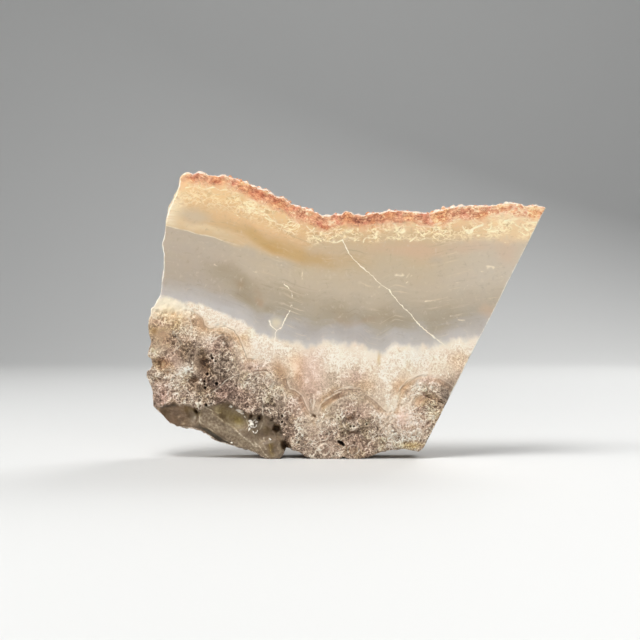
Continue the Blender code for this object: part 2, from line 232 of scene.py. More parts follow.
# Drawn lines, by name and by half width in millimetres, each with its corners in tenths of a
# millimetre: bright threads in the crust, light dashes in the opal, the pale and brown growth
# lines of the shells, and the fine edges of the broken corner.
strokes = {
    "threads": {
        0.1: (
            (-235, 536, -228, 531, -220, 534, -212, 528, -222, 524, -230, 528),
            (-232, 521, -229, 515, -233, 511), (-221, 489, -212, 482), (23, 453, 25, 444),
        ),
        0.11: (
            (-118, 471, -110, 476, -98, 475, -101, 468, -108, 465), (-96, 473, -93, 465, -96, 462),
            (-37, 462, -29, 464, -24, 459, -15, 459, -9, 461), (-27, 447, -25, 438, -21, 433),
            (0, 453, 6, 456, 11, 458), (3, 445, 11, 442, 22, 441, 29, 442),
            (5, 438, 19, 438, 28, 435), (190, 448, 196, 452, 200, 458), (329, 466, 332, 459),
        ),
        0.12: (
            (-321, 542, -315, 544, -302, 547),
            (-296, 547, -290, 541, -284, 539, -275, 541, -266, 544, -260, 542, -252, 536, -244,
             538, -237, 538),
            (-138, 470, -128, 468, -124, 462, -118, 465),
            (-66, 444, -55, 442, -46, 439, -35, 435, -24, 432, -12, 435, -3, 438),
            (35, 432, 37, 442, 45, 442, 58, 441, 63, 445, 61, 456),
            (82, 443, 89, 445, 98, 442, 104, 440, 110, 443), (157, 457, 156, 449, 150, 448),
            (173, 463, 180, 460, 190, 457), (159, 442, 150, 437, 141, 440),
            (263, 477, 272, 472, 277, 469), (292, 471, 291, 464, 287, 459), (317, 433, 324, 433),
        ),
        0.13: (
            (-198, 502, -183, 502, -168, 496, -160, 489, -143, 475),
            (-52, 453, -46, 456, -40, 450, -35, 449, -29, 453), (58, 440, 60, 452, 63, 455),
            (107, 471, 112, 468, 107, 463), (346, 455, 357, 450, 369, 447),
        ),
        0.14: (
            (-162, 482, -153, 478, -142, 475), (202, 477, 196, 472, 187, 471, 174, 469),
            (274, 462, 281, 457, 292, 455, 305, 457),
        ),
        0.15: (
            (-79, 467, -73, 459, -67, 455, -63, 461), (200, 480, 211, 477, 220, 478, 229, 481),
            (350, 480, 357, 476, 369, 473, 383, 473), (339, 469, 344, 466, 350, 462),
        ),
        0.16: (
            (92, 472, 99, 469, 102, 461, 104, 455, 112, 452, 117, 454, 116, 461),
            (128, 436, 133, 440, 139, 444),
        ),
        0.17: ((141, 469, 147, 465, 157, 466, 171, 465),),
        0.18: (
            (80, 458, 82, 456), (233, 466, 236, 459, 242, 454), (251, 480, 255, 477, 260, 472),
            (289, 485, 298, 487, 306, 491, 317, 492, 329, 490),
        ),
        0.2: (
            (252, 457, 256, 462, 264, 465, 272, 467), (262, 447, 266, 447),
            (317, 476, 327, 478, 334, 480, 348, 481), (353, 469, 357, 461, 364, 457),
        ),
        0.22: ((23, 461, 24, 458),),
        0.34: ((242, 455, 248, 453, 252, 457),),
    },
    "dashes": {
        0.1: (
            (-137, 403, -132, 398), (-137, 389, -127, 386), (-87, 376, -87, 358),
            (89, 366, 108, 367, 125, 362), (241, 378, 254, 379), (217, 355, 227, 355),
            (4, 363, 13, 361), (63, 342, 71, 348), (64, 331, 66, 329), (208, 285, 223, 285),
            (225, 278, 238, 278), (-104, 314, -98, 314),
        ),
        0.11: (
            (-280, 395, -267, 393, -257, 385), (-193, 381, -183, 375, -173, 370),
            (223, 337, 236, 340), (241, 363, 253, 363), (271, 376, 295, 379), (308, 367, 316, 365),
            (-2, 331, 2, 330), (-82, 330, -77, 329),
        ),
        0.12: (
            (-353, 422, -347, 423, -344, 424, -333, 423), (102, 371, 115, 371, 128, 370, 133, 365),
            (120, 353, 130, 353), (243, 348, 249, 349, 260, 346), (271, 384, 282, 386, 297, 384),
            (34, 325, 41, 323, 52, 325),
        ),
        0.14: ((-164, 414, -161, 413),),
        0.15: ((158, 316, 167, 316, 179, 315),),
    },
    "pale_arcs": {
        0.07: (
            arc(-17.1, 15.7, 0.75, 0.6, -40, 180), arc(-16.9, 15.5, 2.3, 2, -20, 130),
            (-145, 212, -154, 209, -159, 204), (-144, 210, -136, 208, -129, 201),
            (126, 130, 134, 142, 148, 151, 166, 154, 184, 150), (-330, 230, -338, 220, -344, 212),
            (-276, 242, -266, 250, -254, 250), (-332, 129, -336, 118),
        ),
        0.08: (
            arc(-17, 15.6, 1.45, 1.3, -30, 170), (-70, 119, -69, 108, -67, 98, -62, 89, -54, 82),
            (-32, 106, -18, 118, 2, 125, 24, 126, 44, 116, 54, 104),
            (-20, 94, -17, 82, -18, 70, -15, 61), (-48, 114, -36, 123, -24, 130, -10, 135),
            (106, 140, 114, 150, 128, 163, 144, 170, 164, 173, 184, 169),
            (-348, 258, -338, 247, -330, 234),
            (-265, 134, -252, 146, -239, 159, -224, 166, -212, 171),
            (-328, 147, -320, 138, -311, 129),
        ),
        0.09: (
            (-142, 139, -145, 131, -140, 126), (-134, 136, -132, 128, -136, 120),
            (-124, 134, -120, 126, -125, 116, -122, 110),
            (58, 87, 64, 76, 73, 67, 86, 59, 95, 48, 107, 38),
        ),
        0.1: (
            (-157, 168, -149, 160, -143, 150),
            (-24, 134, -10, 141, 4, 145, 20, 143, 36, 138, 50, 129, 60, 120),
            (-9, 16, -12, 8, -21, 5, -29, 8, -33, 16, -29, 24, -21, 27, -12, 24, -9, 16),
            (26, 18, 22, 10, 14, 7, 6, 10, 2, 18, 6, 26, 14, 29, 22, 26, 26, 18),
            (68, 26, 64, 18, 56, 15, 48, 18, 44, 26, 48, 34, 56, 37, 64, 34, 68, 26),
            (-283, 123, -268, 134, -249, 146), (-322, 146, -316, 134, -308, 126),
            (68, 68, 84, 52, 100, 28), (80, 122, 90, 108, 84, 90),
            (-160, 173, -154, 165, -148, 157, -145, 151, -146.5, 143, -153, 136),
            (172, 116, 182, 113, 198, 104),
        ),
        0.11: (
            (98, 117, 99.5, 108, 95, 99, 92, 90), (122, 111, 126, 102, 126, 91, 123, 82, 119, 78),
        ),
        0.12: (
            (-65, 130, -64, 114, -66, 99), (100, 120, 101, 110, 96, 98),
            (124, 120, 127, 106, 126, 92), (-348, 252, -340, 244, -330, 232),
            (-320, 288, -308, 274, -312, 258, -300, 250),
            (-274, 230, -262, 242, -248, 250, -236, 242),
        ),
        0.13: (
            (-34, 49, -37, 40, -45, 36, -53, 40, -56, 49, -53, 58, -45, 62, -37, 58, -34, 49),
            (-32, 19, -36, 11, -44, 7, -52, 11, -56, 19, -52, 27, -44, 31, -36, 27, -32, 19),
            (-336, 110, -330, 105, -322, 103),
        ),
        0.14: ((-162, 120, -167, 106, -167, 90, -164, 74),),
        0.16: ((-6, 72, -2, 62, 8, 56, 18, 59, 24, 68),),
        0.22: ((-5, 25, -3, 23),),
    },
    "brown_arcs": {
        0.06: ((116, 126, 130, 142, 150, 150, 172, 148, 190, 140),),
        0.07: (
            arc(-17, 15.7, 1.1, 0.95, -30, 180), arc(-16.9, 15.5, 1.9, 1.7, 0, 150),
            (104, 132, 112, 144, 126, 158, 144, 166, 164, 168),
            (132, 116, 144, 129, 162, 135, 180, 132),
        ),
        0.09: (
            (-21, 136, -8, 138, 4, 139, 18, 140, 27, 137),
            (-49, 110, -35, 120, -22, 127, -12, 130),
        ),
        0.1: (
            (-163, 171, -157, 163, -151, 155, -149, 149, -151, 142, -157, 136),
            arc(-17, 15.4, 2.7, 2.4, 40, 110), (-328, 230, -334, 222, -340, 216),
            (149, 105, 162, 99), (-48, 104, -32, 115, -16, 124, 2, 130),
        ),
        0.12: (
            (-70, 132, -72.5, 116, -73, 102, -69, 90, -62, 83), (168, 108, 178, 105, 188, 101),
            (-270, 252, -254, 256, -232, 247, -223, 230),
        ),
        0.15: ((-69, 131, -68, 114, -70, 98),),
        0.16: ((178, 119, 190, 114, 204, 108), (-344, 254, -336, 242, -326, 226)),
        0.18: ((26, 79, 27, 75),),
        0.2: ((-65, 88, -61, 83),),
        0.22: ((155, 130, 163, 125, 169, 122),),
        0.3: ((5, 78, 13, 76),),
        0.32: ((15, 92, 16, 86),),
    },
    # The light lines along the blade's two edges are painted highlights where the edges catch the
    # light; the rest are light lines in the stone.
    "corner_lines": {
        0.05: (
            (-292, 96, -296, 84, -294, 70, -284, 60), arc(-13, 2.4, 0.75, 0.8, 0, 360),
            arc(-12.9, 1.2, 0.5, 0.45, 0, 360), (-166, 44, -162, 34, -154, 30),
            (-202, 80, -196, 66, -204, 56), (-154, 46, -152, 20, -146, 4),
        ),
        0.06: (
            (-166, 118, -163, 100, -164, 82, -168, 70, -174, 60), (-174, 42, -166, 32, -160, 20),
            (-184, 36, -174, 26, -164, 12, -154, 3), (-286, 106, -274, 98, -254, 92),
        ),
        0.07: ((-268, 92, -248, 76, -226, 62, -206, 44, -188, 32, -180, 24),),
        0.1: ((-294, 74, -280, 63, -260, 49, -240, 34, -222, 24, -214, 20),),
    },
}

# Soft ovals of tint, by name: x, z, half width, half height, slope in degrees, strength. The
# broad ones' rims wander, the sinter's wander less, and those of the small ones hardly at all.
broad_ovals = {
    "ochre": (
        (-7.6, 46.4, 6.6, 1.6, -16, 0.2), (-20.6, 51.4, 4.4, 1.4, -18, 0.24),
        (-21.2, 46, 5.2, 1.4, -14, 0.45), (-16.6, 43.7, 4.6, 1.5, -26, 0.9),
        (-11.6, 41.6, 5, 1.7, -22, 0.75), (-6.6, 40, 5.6, 2.2, -10, 0.6),
        (-0.6, 39.4, 7.4, 2.2, 0, 0.4),
    ),
    "olive": (
        (-19.6, 31.8, 3.4, 1.5, -35, 1), (-26.6, 37.8, 3.6, 1.7, -20, 0.6),
        (-22.6, 36.4, 4.2, 2.2, -30, 0.85), (-19.2, 34.2, 4, 2.4, -35, 0.9),
        (-12.4, 33.6, 4.4, 2.2, -20, 0.5), (-12.4, 29.4, 2.6, 1.8, -30, 0.5),
        (-14.8, 30.2, 1.4, 1.4, 0, 0.9), (-9.2, 31.8, 5, 2, 0, 0.35), (-2.4, 30, 4, 1.4, 0, 0.7),
        (5.2, 28.2, 8, 1.6, -5, 0.75), (-3.2, 28.2, 6, 1.6, 0, 0.4),
        (10.4, 28.2, 4.4, 1.8, -30, 0.5), (19.8, 28.2, 4.8, 2.8, 0, 0.6),
        (18.4, 26.2, 2.8, 2.4, 0, 0.5), (24.8, 26.8, 4, 2, 0, 0.35),
    ),
    "amber": (
        (-16.8, 31.2, 1.4, 1, -40, 0.8), (-16.8, 33.2, 1.4, 0.8, -40, 0.4),
        (-21.2, 34.8, 1.6, 1.2, -30, 0.4), (1.8, 27.4, 6, 1, 0, 0.4),
    ),
    "lilac": (
        (-31.2, 33.4, 5.6, 1.6, -12, 0.5), (-22.8, 30.2, 5.2, 1.4, -32, 0.45),
        (-16.8, 27.4, 3.2, 1.8, -35, 0.8), (-9.2, 25.2, 6, 2, 0, 0.8),
        (-0.2, 25, 5.2, 2.2, 0, 0.8), (3.8, 24.2, 2.8, 2, 0, 0.6), (18.2, 39.4, 1.6, 1, 0, 0.35),
        (-29.2, 42.8, 6, 1.2, -15, 0.3), (-20.2, 41.8, 6, 1.4, -22, 0.45),
        (-13.2, 39.4, 3.2, 1.2, -20, 0.4),
    ),
    "pink": (
        (14.8, 41.8, 5.6, 2, -8, 0.8), (7.8, 41.8, 4.4, 1.6, 0, 0.4),
        (24.8, 42.6, 4.8, 1.4, 0, 0.5), (28.8, 29.4, 1.8, 1.8, 0, 0.5),
        (31.8, 41.8, 2.8, 2.8, 0, 0.5),
    ),
    "pale": (
        (-28.2, 46.4, 5.6, 0.8, -12, 0.6), (9.4, 24.6, 2.4, 0.8, -35, 0.5),
        (-34.8, 50.8, 2.8, 5.2, 0, 0.8), (10.8, 46.2, 4.4, 1.6, 0, 0.5),
        (34.8, 48.8, 5.2, 1.6, 0, 0.6),
    ),
    "veil": ((-30.2, 48.7, 4, 1.6, -8, 1),),
    "red": (
        (3.2, 47.6, 5.4, 1.4, 4, 0.9), (-7, 48, 5, 1.6, -12, 0.4), (26, 49.4, 4, 1.2, 6, 0.4),
        (-27, 55.4, 6, 0.7, -12, 0.5),
    ),
}
# The sinter's shade, and its hues: golden tan, faint rose, and a cool grey.
sinter_ovals = {
    "shade": (
        (-26.8, 17.4, 7, 6, 0, -0.17), (-33.2, 21.6, 4, 3.4, 0, -0.17),
        (-33.2, 17.4, 3.4, 2.6, 0, 0.18), (-19.2, 8.8, 8, 4, -15, -0.2),
        (-12.2, 4.2, 5, 4, 0, -0.15), (-4.2, 6.2, 5, 6, 0, 0.1), (1.8, 5.8, 5, 4, 0, -0.11),
        (12.4, 8.8, 7.6, 8, 0, 0.25), (-5.2, 13.4, 3.6, 5.2, 0, 0.1),
        (18.2, 11.6, 3.6, 1.8, -20, -0.05), (-26.2, 14.8, 5, 3, 0, -0.1),
        (-36.4, 30.2, 5, 3.4, -10, 0.3), (-32.6, 26.4, 5.2, 2.4, -20, 0.16),
        (-35.8, 22, 3.6, 5, 10, 0.14), (-35.4, 14.2, 3.4, 2.6, 0, 0.08),
        (-31, 18.4, 2.6, 2, 0, 0.08), (-7, 17.4, 3.8, 5, 0, -0.13),
        (-13.3, 17.4, 1.8, 2.8, 25, -0.17), (-29.4, 26.6, 1.8, 2.2, 0, -0.2),
        (-24.6, 24.2, 4.6, 1.8, -12, -0.18), (-3.2, 12.2, 3, 1.5, 28, -0.17),
        (11.4, 14.6, 2.6, 2.4, 40, -0.05), (20.8, 13.2, 2.2, 3, 0, -0.22),
        (22.6, 19.6, 2.6, 2.4, -40, -0.12), (-28.8, 19.6, 1.6, 2.2, 0, -0.2),
        (-5, 5.4, 6, 5, 0, -0.09), (2.2, 8, 3.4, 2.4, 0, 0.09), (14.4, 12.6, 5.6, 5, 0, -0.04),
        (8.4, 11.4, 2.6, 3.4, 0, 0.05), (-13.6, 22, 3, 3, 0, -0.05),
        (-24.4, 24.8, 4, 1.6, -12, -0.05), (-29.4, 26.8, 1.4, 1.8, 0, -0.16),
        (-36.4, 19, 2.4, 2.4, 0, 0.1), (-38.2, 21.6, 1.4, 1.4, 0, 0.12),
        (-8.4, 5, 4.4, 3.4, 0, 0.1), (3.2, 3.2, 4, 2, 0, 0.06), (-20.4, 24, 1.4, 2.4, 30, -0.1),
        (-33.6, 28.6, 4, 1.4, -12, -0.12),
    ),
    "tan": (
        (-24.6, 25, 4.2, 1.3, -12, 0.9), (-20.3, 23.6, 1.2, 2.6, 30, 0.7),
        (-13.3, 17.4, 1.6, 2.8, 25, 1), (-10, 19, 2, 3, 0, 0.9), (-9.6, 15.6, 1.6, 2.2, 0, 0.6),
        (-3, 12.4, 3.4, 1.5, 28, 1), (3.6, 14.6, 3.2, 1.4, -15, 0.6),
        (11.2, 14.6, 2.8, 2.2, 40, 1), (14.8, 11.8, 1.6, 1.4, 0, 0.9),
        (18, 11.8, 2.4, 1.3, -24, 0.9), (22.6, 19.6, 2.8, 2.2, -40, 0.6),
        (-29.4, 26.4, 1.8, 2.2, 0, 0.8), (-34, 28.4, 4.4, 2, -12, 0.8),
        (-36.8, 24.8, 2.8, 2.2, 0, 0.5), (-36.6, 18.6, 2, 2, 0, 0.8),
        (-28.8, 18.8, 2, 3.4, 10, 0.8), (-12, 3.4, 2, 2, 0, 0.4),
    ),
    "rose": (
        (-37.8, 27.2, 1.8, 1, 0, 0.8), (-34.4, 19.6, 3, 2.6, 0, 0.7), (-37, 12.6, 2.6, 3.4, 0, 1),
        (-7, 16.6, 3.6, 5.6, 0, 1), (1.8, 16.4, 2.8, 1.6, 0, 0.7), (11.5, 8.3, 1.6, 1.8, 0, 0.9),
        (-9.4, 10.6, 2.4, 2.2, 0, 0.6), (-26, 22.6, 3.6, 2, 0, 0.6), (-18.6, 18.6, 3, 1.4, 0, 0.8),
        (-24.4, 13.6, 4.6, 2.4, -15, 0.7), (16.4, 15.6, 3, 1, 0, 0.6), (2, 9.4, 3.2, 2.4, 0, 0.5),
    ),
    "cool": (
        (-31.4, 17.8, 2.6, 2.4, 0, 0.7), (21.6, 13, 3, 3, 0, 1.2), (10.6, 4.6, 5.4, 3.8, 0, 0.6),
        (-6.6, 3.6, 5, 3.4, 0, 0.4), (-21.6, 14, 3.6, 3, 0, 0.4), (13.6, 20.6, 4, 2, 0, 0.4),
    ),
}
small_ovals = {
    "sinter_green": (
        (13.6, 2.7, 2.6, 0.8, 4, 1.2), (18.6, 8.6, 1, 2.2, -20, 0.6), (-4.6, 11, 0.5, 2, 0, 0.5),
        (6.6, 20.2, 0.4, 2, 0, 0.9), (-38.4, 25.6, 1, 0.9, 0, 0.9), (-37, 19, 1.6, 1.4, 20, 0.5),
        (-30.4, 14.4, 2.6, 1.2, -10, 0.4),
    ),
    "funnel": ((-14, 27.1, 1.5, 1.5, 0, 1), (-14.3, 24, 1, 2, 0, 0.6)),
    # Among the corner's ovals, the dark strip under the blade is partly the stone's dark olive and
    # partly painted shade, and the dark gap at the foot is painted shade.
    "corner_shade": (
        (-35.4, 10.7, 2.4, 0.6, 6, -0.4), (-38.4, 10.2, 1.2, 1.5, 0, 0.3),
        (-30, 9.5, 0.8, 1, 0, -0.3), (-30.7, 8.1, 0.4, 0.4, 0, 0.25),
        (-33.6, 8.3, 0.3, 0.3, 0, 0.35), (-32.8, 7, 0.4, 0.3, 0, 0.35),
        (-27.2, 4.9, 3.6, 0.7, -36, -0.42), (-24.4, 3, 2.4, 0.5, -30, -0.34),
        (-24.8, 9.4, 2.4, 1.3, -35, 0.08), (-21.6, 7.2, 1.6, 1.2, -45, 0.04),
        (-17.4, 8.3, 0.7, 1, 0, -0.3), (-16.8, 7, 1.2, 1.6, 0, 0.08),
        (-14.3, 6.2, 0.5, 0.7, 20, -0.25), (-16.6, 3, 1.3, 1.5, 20, 0.09),
        (-18.6, 5.6, 1.8, 0.9, -40, 0.1), (-12.8, 1.8, 0.9, 1.2, 0, 0.1),
        (-12, 2.4, 1.3, 0.6, -50, -0.6), (-14, 0.8, 1.2, 0.5, 20, 0.08),
        (-13, 2.6, 0.8, 1, 0, 0.06), (-26, 10.2, 1.2, 0.7, -25, 0.08),
        (-17.2, 3.4, 1.1, 1.4, 20, 0.08), (-35.4, 8.2, 2.6, 1.4, -25, -0.12),
    ),
    "corner_green": (
        (-30, 9.5, 1.2, 1.2, 0, 0.8), (-26.6, 4.2, 3.4, 0.9, -34, 0.9),
        (-24.6, 9.4, 3, 1.7, -35, 0.7), (-21.8, 7.6, 2, 1.6, -45, 0.9), (-15, 2.2, 0.7, 2, 6, 1),
        (-32, 9.8, 1.6, 0.8, 0, 0.5), (-16, 5.6, 0.9, 1.2, 0, 0.5), (-36.6, 9, 1.2, 2, -30, 0.4),
    ),
    "white": (
        (-10.1, 18.3, 0.8, 1.2, 10, 0.9), (-7.8, 15.6, 1, 0.8, 0, 0.5),
        (-5.3, 13.1, 0.6, 0.6, 0, 0.8), (0.8, 6.5, 1.6, 0.9, 0, 0.55),
        (-10.7, 3.4, 1, 1.2, 0, 0.45), (-31.6, 17.6, 2.2, 1.6, 0, 0.5),
        (-30.8, 14.4, 0.9, 0.6, 0, 0.8), (1.2, 12.8, 1.8, 0.8, 0, 0.4),
        (-21.2, 16.8, 2.8, 1.8, 0, 0.2), (-2, 11.4, 0.8, 0.6, 0, 0.4),
    ),
}
# Ovals in which the sinter is calm and smooth, and how deep the rust reaches below the crust's
# top, as a line over x.
calm_ovals = (
    (-7.4, 17.6, 3.2, 4.4, 0, 0.55), (-13, 18.2, 1, 2.4, 35, 0.6), (11.5, 8.3, 1.4, 1.6, 0, 0.9),
    (-29.3, 18.8, 1.2, 3, 8, 0.8), (-33.8, 19.8, 1.4, 2.2, 0, 0.7), (11.2, 15.2, 2, 1.4, 40, 0.5),
    (5.8, 20.6, 2.6, 1.6, 0, 0.6), (1.6, 21, 5, 1.7, 0, 0.7), (-24.4, 25.8, 3, 0.7, -8, 0.6),
    (14.5, 11.8, 1.2, 1.2, 0, 0.9), (-37.2, 25, 2.2, 1.8, 0, 1), (-37, 22.2, 2, 1.4, 0, 0.8),
    (-28.8, 27.2, 1, 1.2, 0, 0.9), (-3.4, 11, 2, 0.8, 30, 0.8), (14.8, 12, 1.6, 1, 0, 0.9),
    (13.2, 16, 2.8, 0.8, 25, 0.6),
)
rust_reach = traced(
    -420, 15, -312, 18, -262, 20, -212, 23, -152, 27, -92, 29, -52, 28, -2, 25, 68, 26, 108, 22,
    168, 26, 228, 28, 274, 27, 308, 19, 348, 24, 420, 28,
)


def rounded(line):
    """A line with its corners cut three times, each cut leaving the points at 1/4 and 3/4 of
    every stretch, between the same two ends."""
    for _ in range(3):
        quarter = line[:-1] * 0.75 + line[1:] * 0.25
        later = line[:-1] * 0.25 + line[1:] * 0.75
        middle = np.stack([quarter, later], axis=1).reshape(-1, 2)
        line = np.concatenate([line[:1], middle, line[-1:]])
    return line


def off_strokes(strokes, x, z):
    """How far each point is outside the nearest of a set of strokes: its distance from the
    stroke's middle line, less the half width, and no more than a millimetre."""
    gap = np.full(x.shape, 1.0)
    margin = 1.2
    for half_width, lines in strokes.items():
        for corners in lines:
            line = rounded(traced(*corners))
            low, high = line.min(axis=0) - margin, line.max(axis=0) + margin
            close = (x > low[0]) & (x < high[0]) & (z > low[1]) & (z < high[1])
            across, past = off_line(line, x[close], z[close])
            gap[close] = np.minimum(gap[close], np.hypot(across, past) - half_width)
    return gap


def tinted_by(ovals, x, z):
    """The strengths of a set of soft ovals, summed: each is its own strength at its middle and
    falls to 0 at its rim as 3t^2 - 2t^3."""
    total = np.zeros(x.shape)
    for at_x, at_z, half_x, half_z, slope, strength in ovals:
        along, aside = turned(x - at_x, z - at_z, slope)
        total += strength * smooth(np.hypot(along / half_x, aside / half_z), 1.35, 0.15)
    return total


# ---------------------------------------------------------------------------------------------
# The relief of the sawn faces
# The saw opened the sinter's hollows and pits. The lower left corner broke off behind the cut,
# and left smooth scoops of clear opal with a flat blade standing among them.

ledge_line = traced(
    -420, 98, -376, 104, -354, 111, -344, 115, -334, 109, -320, 110, -298, 98, -286, 104,
    -252, 112, -237, 116, -229, 108, -206, 96, -196, 90, -167, 90, -154, 84, -142, 76, -132, 68,
    -126, 44, -120, 22, -119, -30,
)
# Scoops and swells of the broken corner: x, z, half width, half height, slope, depth.
scoops = np.array([
    (-34.6, 7.9, 4.6, 3, -18, 0.9), (-31, 9.2, 1.4, 2.2, 20, 1.2),
    (-22.4, 8.4, 3.4, 2.3, -32, 1.5), (-18.2, 7.6, 2.2, 1.5, -30, 1),
    (-16.4, 4.9, 2.6, 1.6, -40, 0.9), (-24.5, 2.6, 7.5, 1.3, -30, 1.6),
    (-13.2, 5.4, 1.1, 1.5, 20, 1),
])
swells = np.array([
    (-14.9, 2, 2.7, 2.4, 0, 1.5), (-35.2, 7.6, 2.6, 1.8, -25, 0.5),
])
# The blade: its middle, slope and half length, how round its ends are, the half width of its
# flat, how far its edge reaches past that, and how deep its middle lies.
blade_at, blade_slope, blade_half_length = (-23.4, 5.2), -36.5, 7.6
blade_round, blade_flat, blade_reach, blade_depth = 1.2, 0.3, 1.18, 0.62
# Pits and hollows that the saw opened: x, z, half width, half height, slope, depth.
hollows = np.array([
    (-28.3, 19.2, 1, 2.4, 14, 0.7), (-30.5, 15.8, 1.2, 0.8, 0, 0.8),
    (-37, 19.1, 1.5, 1.3, 20, 0.8), (-35.6, 17.4, 0.9, 0.9, 0, 0.6),
    (-37.8, 15.6, 1.2, 0.8, 0, 0.5), (-33.6, 23.8, 1.8, 0.3, -52, 0.5),
    (-30.2, 9.6, 0.6, 0.8, 0, 1.2), (-19.2, 8.5, 0.35, 0.4, 0, 1.2), (-17.4, 8.2, 0.3, 0.7, 0, 1),
    (-14.1, 5.9, 0.7, 1, 20, 1), (0.9, 8.2, 0.8, 0.6, 10, 0.8), (1.2, 5.2, 2.4, 0.5, -14, 0.5),
    (-0.95, 3.12, 0.95, 0.34, -38, 1.3), (-6.4, 8.6, 0.5, 0.4, 0, 0.8),
    (16.2, 12.6, 1, 0.3, -30, 0.5), (19, 11.4, 1.6, 0.24, -25, 0.5),
    (17.8, 10.4, 1.3, 0.18, -22, 0.3), (14.6, 11.9, 1.3, 0.8, 0, 0.4),
    (16.3, 9.7, 1.4, 0.4, -10, 0.3), (10.8, 1.9, 0.7, 0.3, 0, 0.8), (-12, 2.4, 1.5, 0.8, -50, 2),
    (25.4, 20.3, 0.9, 0.5, 0, 0.8), (-14.6, 7.9, 0.5, 0.3, 0, 0.6),
])
# Round pinholes: x, z, radius. All are as deep.
pinhole_depth = 0.9
pinholes = np.array([
    (-27, 20.8, 0.24), (-26.8, 20.2, 0.28), (-26.1, 19.6, 0.22), (-27.8, 17, 0.34),
    (-28.4, 15.5, 0.26), (-28.3, 15, 0.2), (-25.9, 15.1, 0.38), (-28.2, 14.2, 0.32),
    (-28.1, 10.8, 0.3), (0.9, 6.5, 0.2), (1.6, 6.5, 0.2), (-17.6, 8.4, 0.25), (-12.8, 8.6, 0.25),
    (-12.8, 7.4, 0.22), (2.6, 8.6, 0.2), (4.1, 6.9, 0.2),
])
# Black slots, laid out as the drawn lines are.
black_slots = {
    0.33: ((-15, 35, -9.5, 31.2, -4.5, 27.8),), 0.12: ((166, 123, 176, 118),),
    0.1: ((186, 115, 200, 109),),
}


def bowls(shapes, x, z, steep=1.0):
    """The deepest of several bowls at each point. A bowl is an ellipse, turned by its slope, and
    its depth falls off as 1 - r^2 from its middle, sharpened by the steepness."""
    at_x, at_z, half_x, half_z, slope, depth = shapes.T
    along, aside = turned(x[..., None] - at_x, z[..., None] - at_z, slope)
    inside = np.clip(1 - (along / half_x) ** 2 - (aside / half_z) ** 2, 0, 1)
    return np.max(depth * inside**steep, axis=-1)


def front_relief(x, z):
    """How far behind the saw's plane the front face lies, in millimetres, and three shares of 0
    to 1: how broken, how hollow and how bladed the stone is there."""
    flat = np.stack([x, np.zeros_like(x), z], axis=-1)
    ragged = 0.35 * grit(flat, 1.7, 5) + 0.18 * grit(flat, 0.7, 6)
    broken = smooth(-height_over(ledge_line, x, z) + ragged, -0.1, 0.45)
    floor = 0.75 + 0.25 * weathered(flat, 4.0, 3, 7)
    floor = floor + bowls(scoops, x, z, 0.6) - bowls(swells, x, z, 0.7)
    along, aside = turned(x - blade_at[0], z - blade_at[1], blade_slope)
    past_end = np.maximum(np.abs(along) - blade_half_length + blade_round, 0)
    past_side = np.maximum(np.abs(aside) - blade_flat, 0)
    edge = np.hypot(past_end, past_side)
    bladed = smooth(blade_reach - edge + 0.14 * grit(flat, 1.1, 9), 0, 0.3)
    top = blade_depth - 0.16 * aside + 0.05 * grit(flat, 2.2, 8)
    floor = floor * (1 - bladed) + np.minimum(top, floor) * bladed
    torn = 0.3 * weathered(flat, 1.1, 3, 12), 0.3 * weathered(flat, 1.1, 3, 15)
    pits = bowls(hollows, x + torn[0], z + torn[1], 0.7)
    straight, deep = np.zeros(len(pinholes)), np.full(len(pinholes), pinhole_depth)
    holes = np.column_stack([pinholes, pinholes[:, 2], straight, deep])
    pits = np.maximum(pits, bowls(holes, x, z, 0.5))
    return broken * floor + pits, broken, smooth(pits, 0.1, 0.8), broken * bladed


def sinter_texture(places, share, seed=0):
    """The grown surface of the sinter: worm-like ridges between round pores, as a depth in
    millimetres that is never above the saw's plane. The ridges are where grit crosses zero."""
    worms = np.abs(grit(places, 1.0, seed + 20)) + 0.6 * np.abs(grit(places, 0.55, seed + 21))
    pores = smooth(bubbles(places, 1.25, seed + 3) + 0.2 * grit(places, 0.6, seed + 5), 0.40, 0.16)
    broad = np.clip(0.45 + 0.6 * grit(places, 3.1, seed + 22), 0, 1)
    return share * (0.10 * broad + 0.30 * worms + 0.50 * pores * broad)


# ---------------------------------------------------------------------------------------------
# The slab's skin
# One closed sheet of stone. The front face is a fine mesh stretched between its four edges, the
# back face is the same at half the count, and rings of points run round the edge between them.

columns, rows = 361, 161
# How a face's rows share out its height: they lie closest in the sinter and in the crust.
up_share = np.interp(
    np.linspace(0, 1, rows), [0, 0.58, 0.66, 0.78, 0.86, 1], [0, 0.49, 0.58, 0.82, 0.90, 1]
)


def stretched(foot, right, crust, left):
    """A face stretched between its four edges: the blend of foot and crust by height, plus the
    blend of left and right by width, less the blend of the four corners."""
    u = np.linspace(0, 1, len(foot))[None, :, None]
    v = up_share[:: (rows - 1) // (len(left) - 1)][:, None, None]
    upright = (1 - v) * foot[None] + v * crust[None]
    level = (1 - u) * left[:, None] + u * right[:, None]
    corners = (1 - u) * (1 - v) * foot[0] + u * (1 - v) * foot[-1]
    corners = corners + (1 - u) * v * crust[0] + u * v * crust[-1]
    return upright + level - corners


along = np.linspace(0, 1, columns)
sides = (
    walk(foot_edge, along)[:-1], walk(saw_end, up_share)[:-1],
    walk(crust_edge, along)[:0:-1], walk(break_edge, up_share)[:0:-1],
)
loop = np.concatenate(sides)
kind = np.repeat(np.arange(4), [len(side) for side in sides])
count = len(loop)


def blurred(values, reach):
    """Values round the closed loop, each averaged with its neighbours by a bell curve."""
    bell = np.exp(-0.5 * (np.arange(-3 * reach, 3 * reach + 1) / reach) ** 2)
    bell /= bell.sum()
    values = values.reshape(count, -1)
    padded = np.concatenate([values[-3 * reach :], values, values[: 3 * reach]])
    return np.stack([np.convolve(axis, bell, "valid") for axis in padded.T], axis=-1)


heading = blurred(np.roll(loop, -1, axis=0) - np.roll(loop, 1, axis=0), 7)
outward = np.stack([heading[:, 1], -heading[:, 0]], axis=-1)
outward /= np.linalg.norm(outward, axis=1)[:, None]

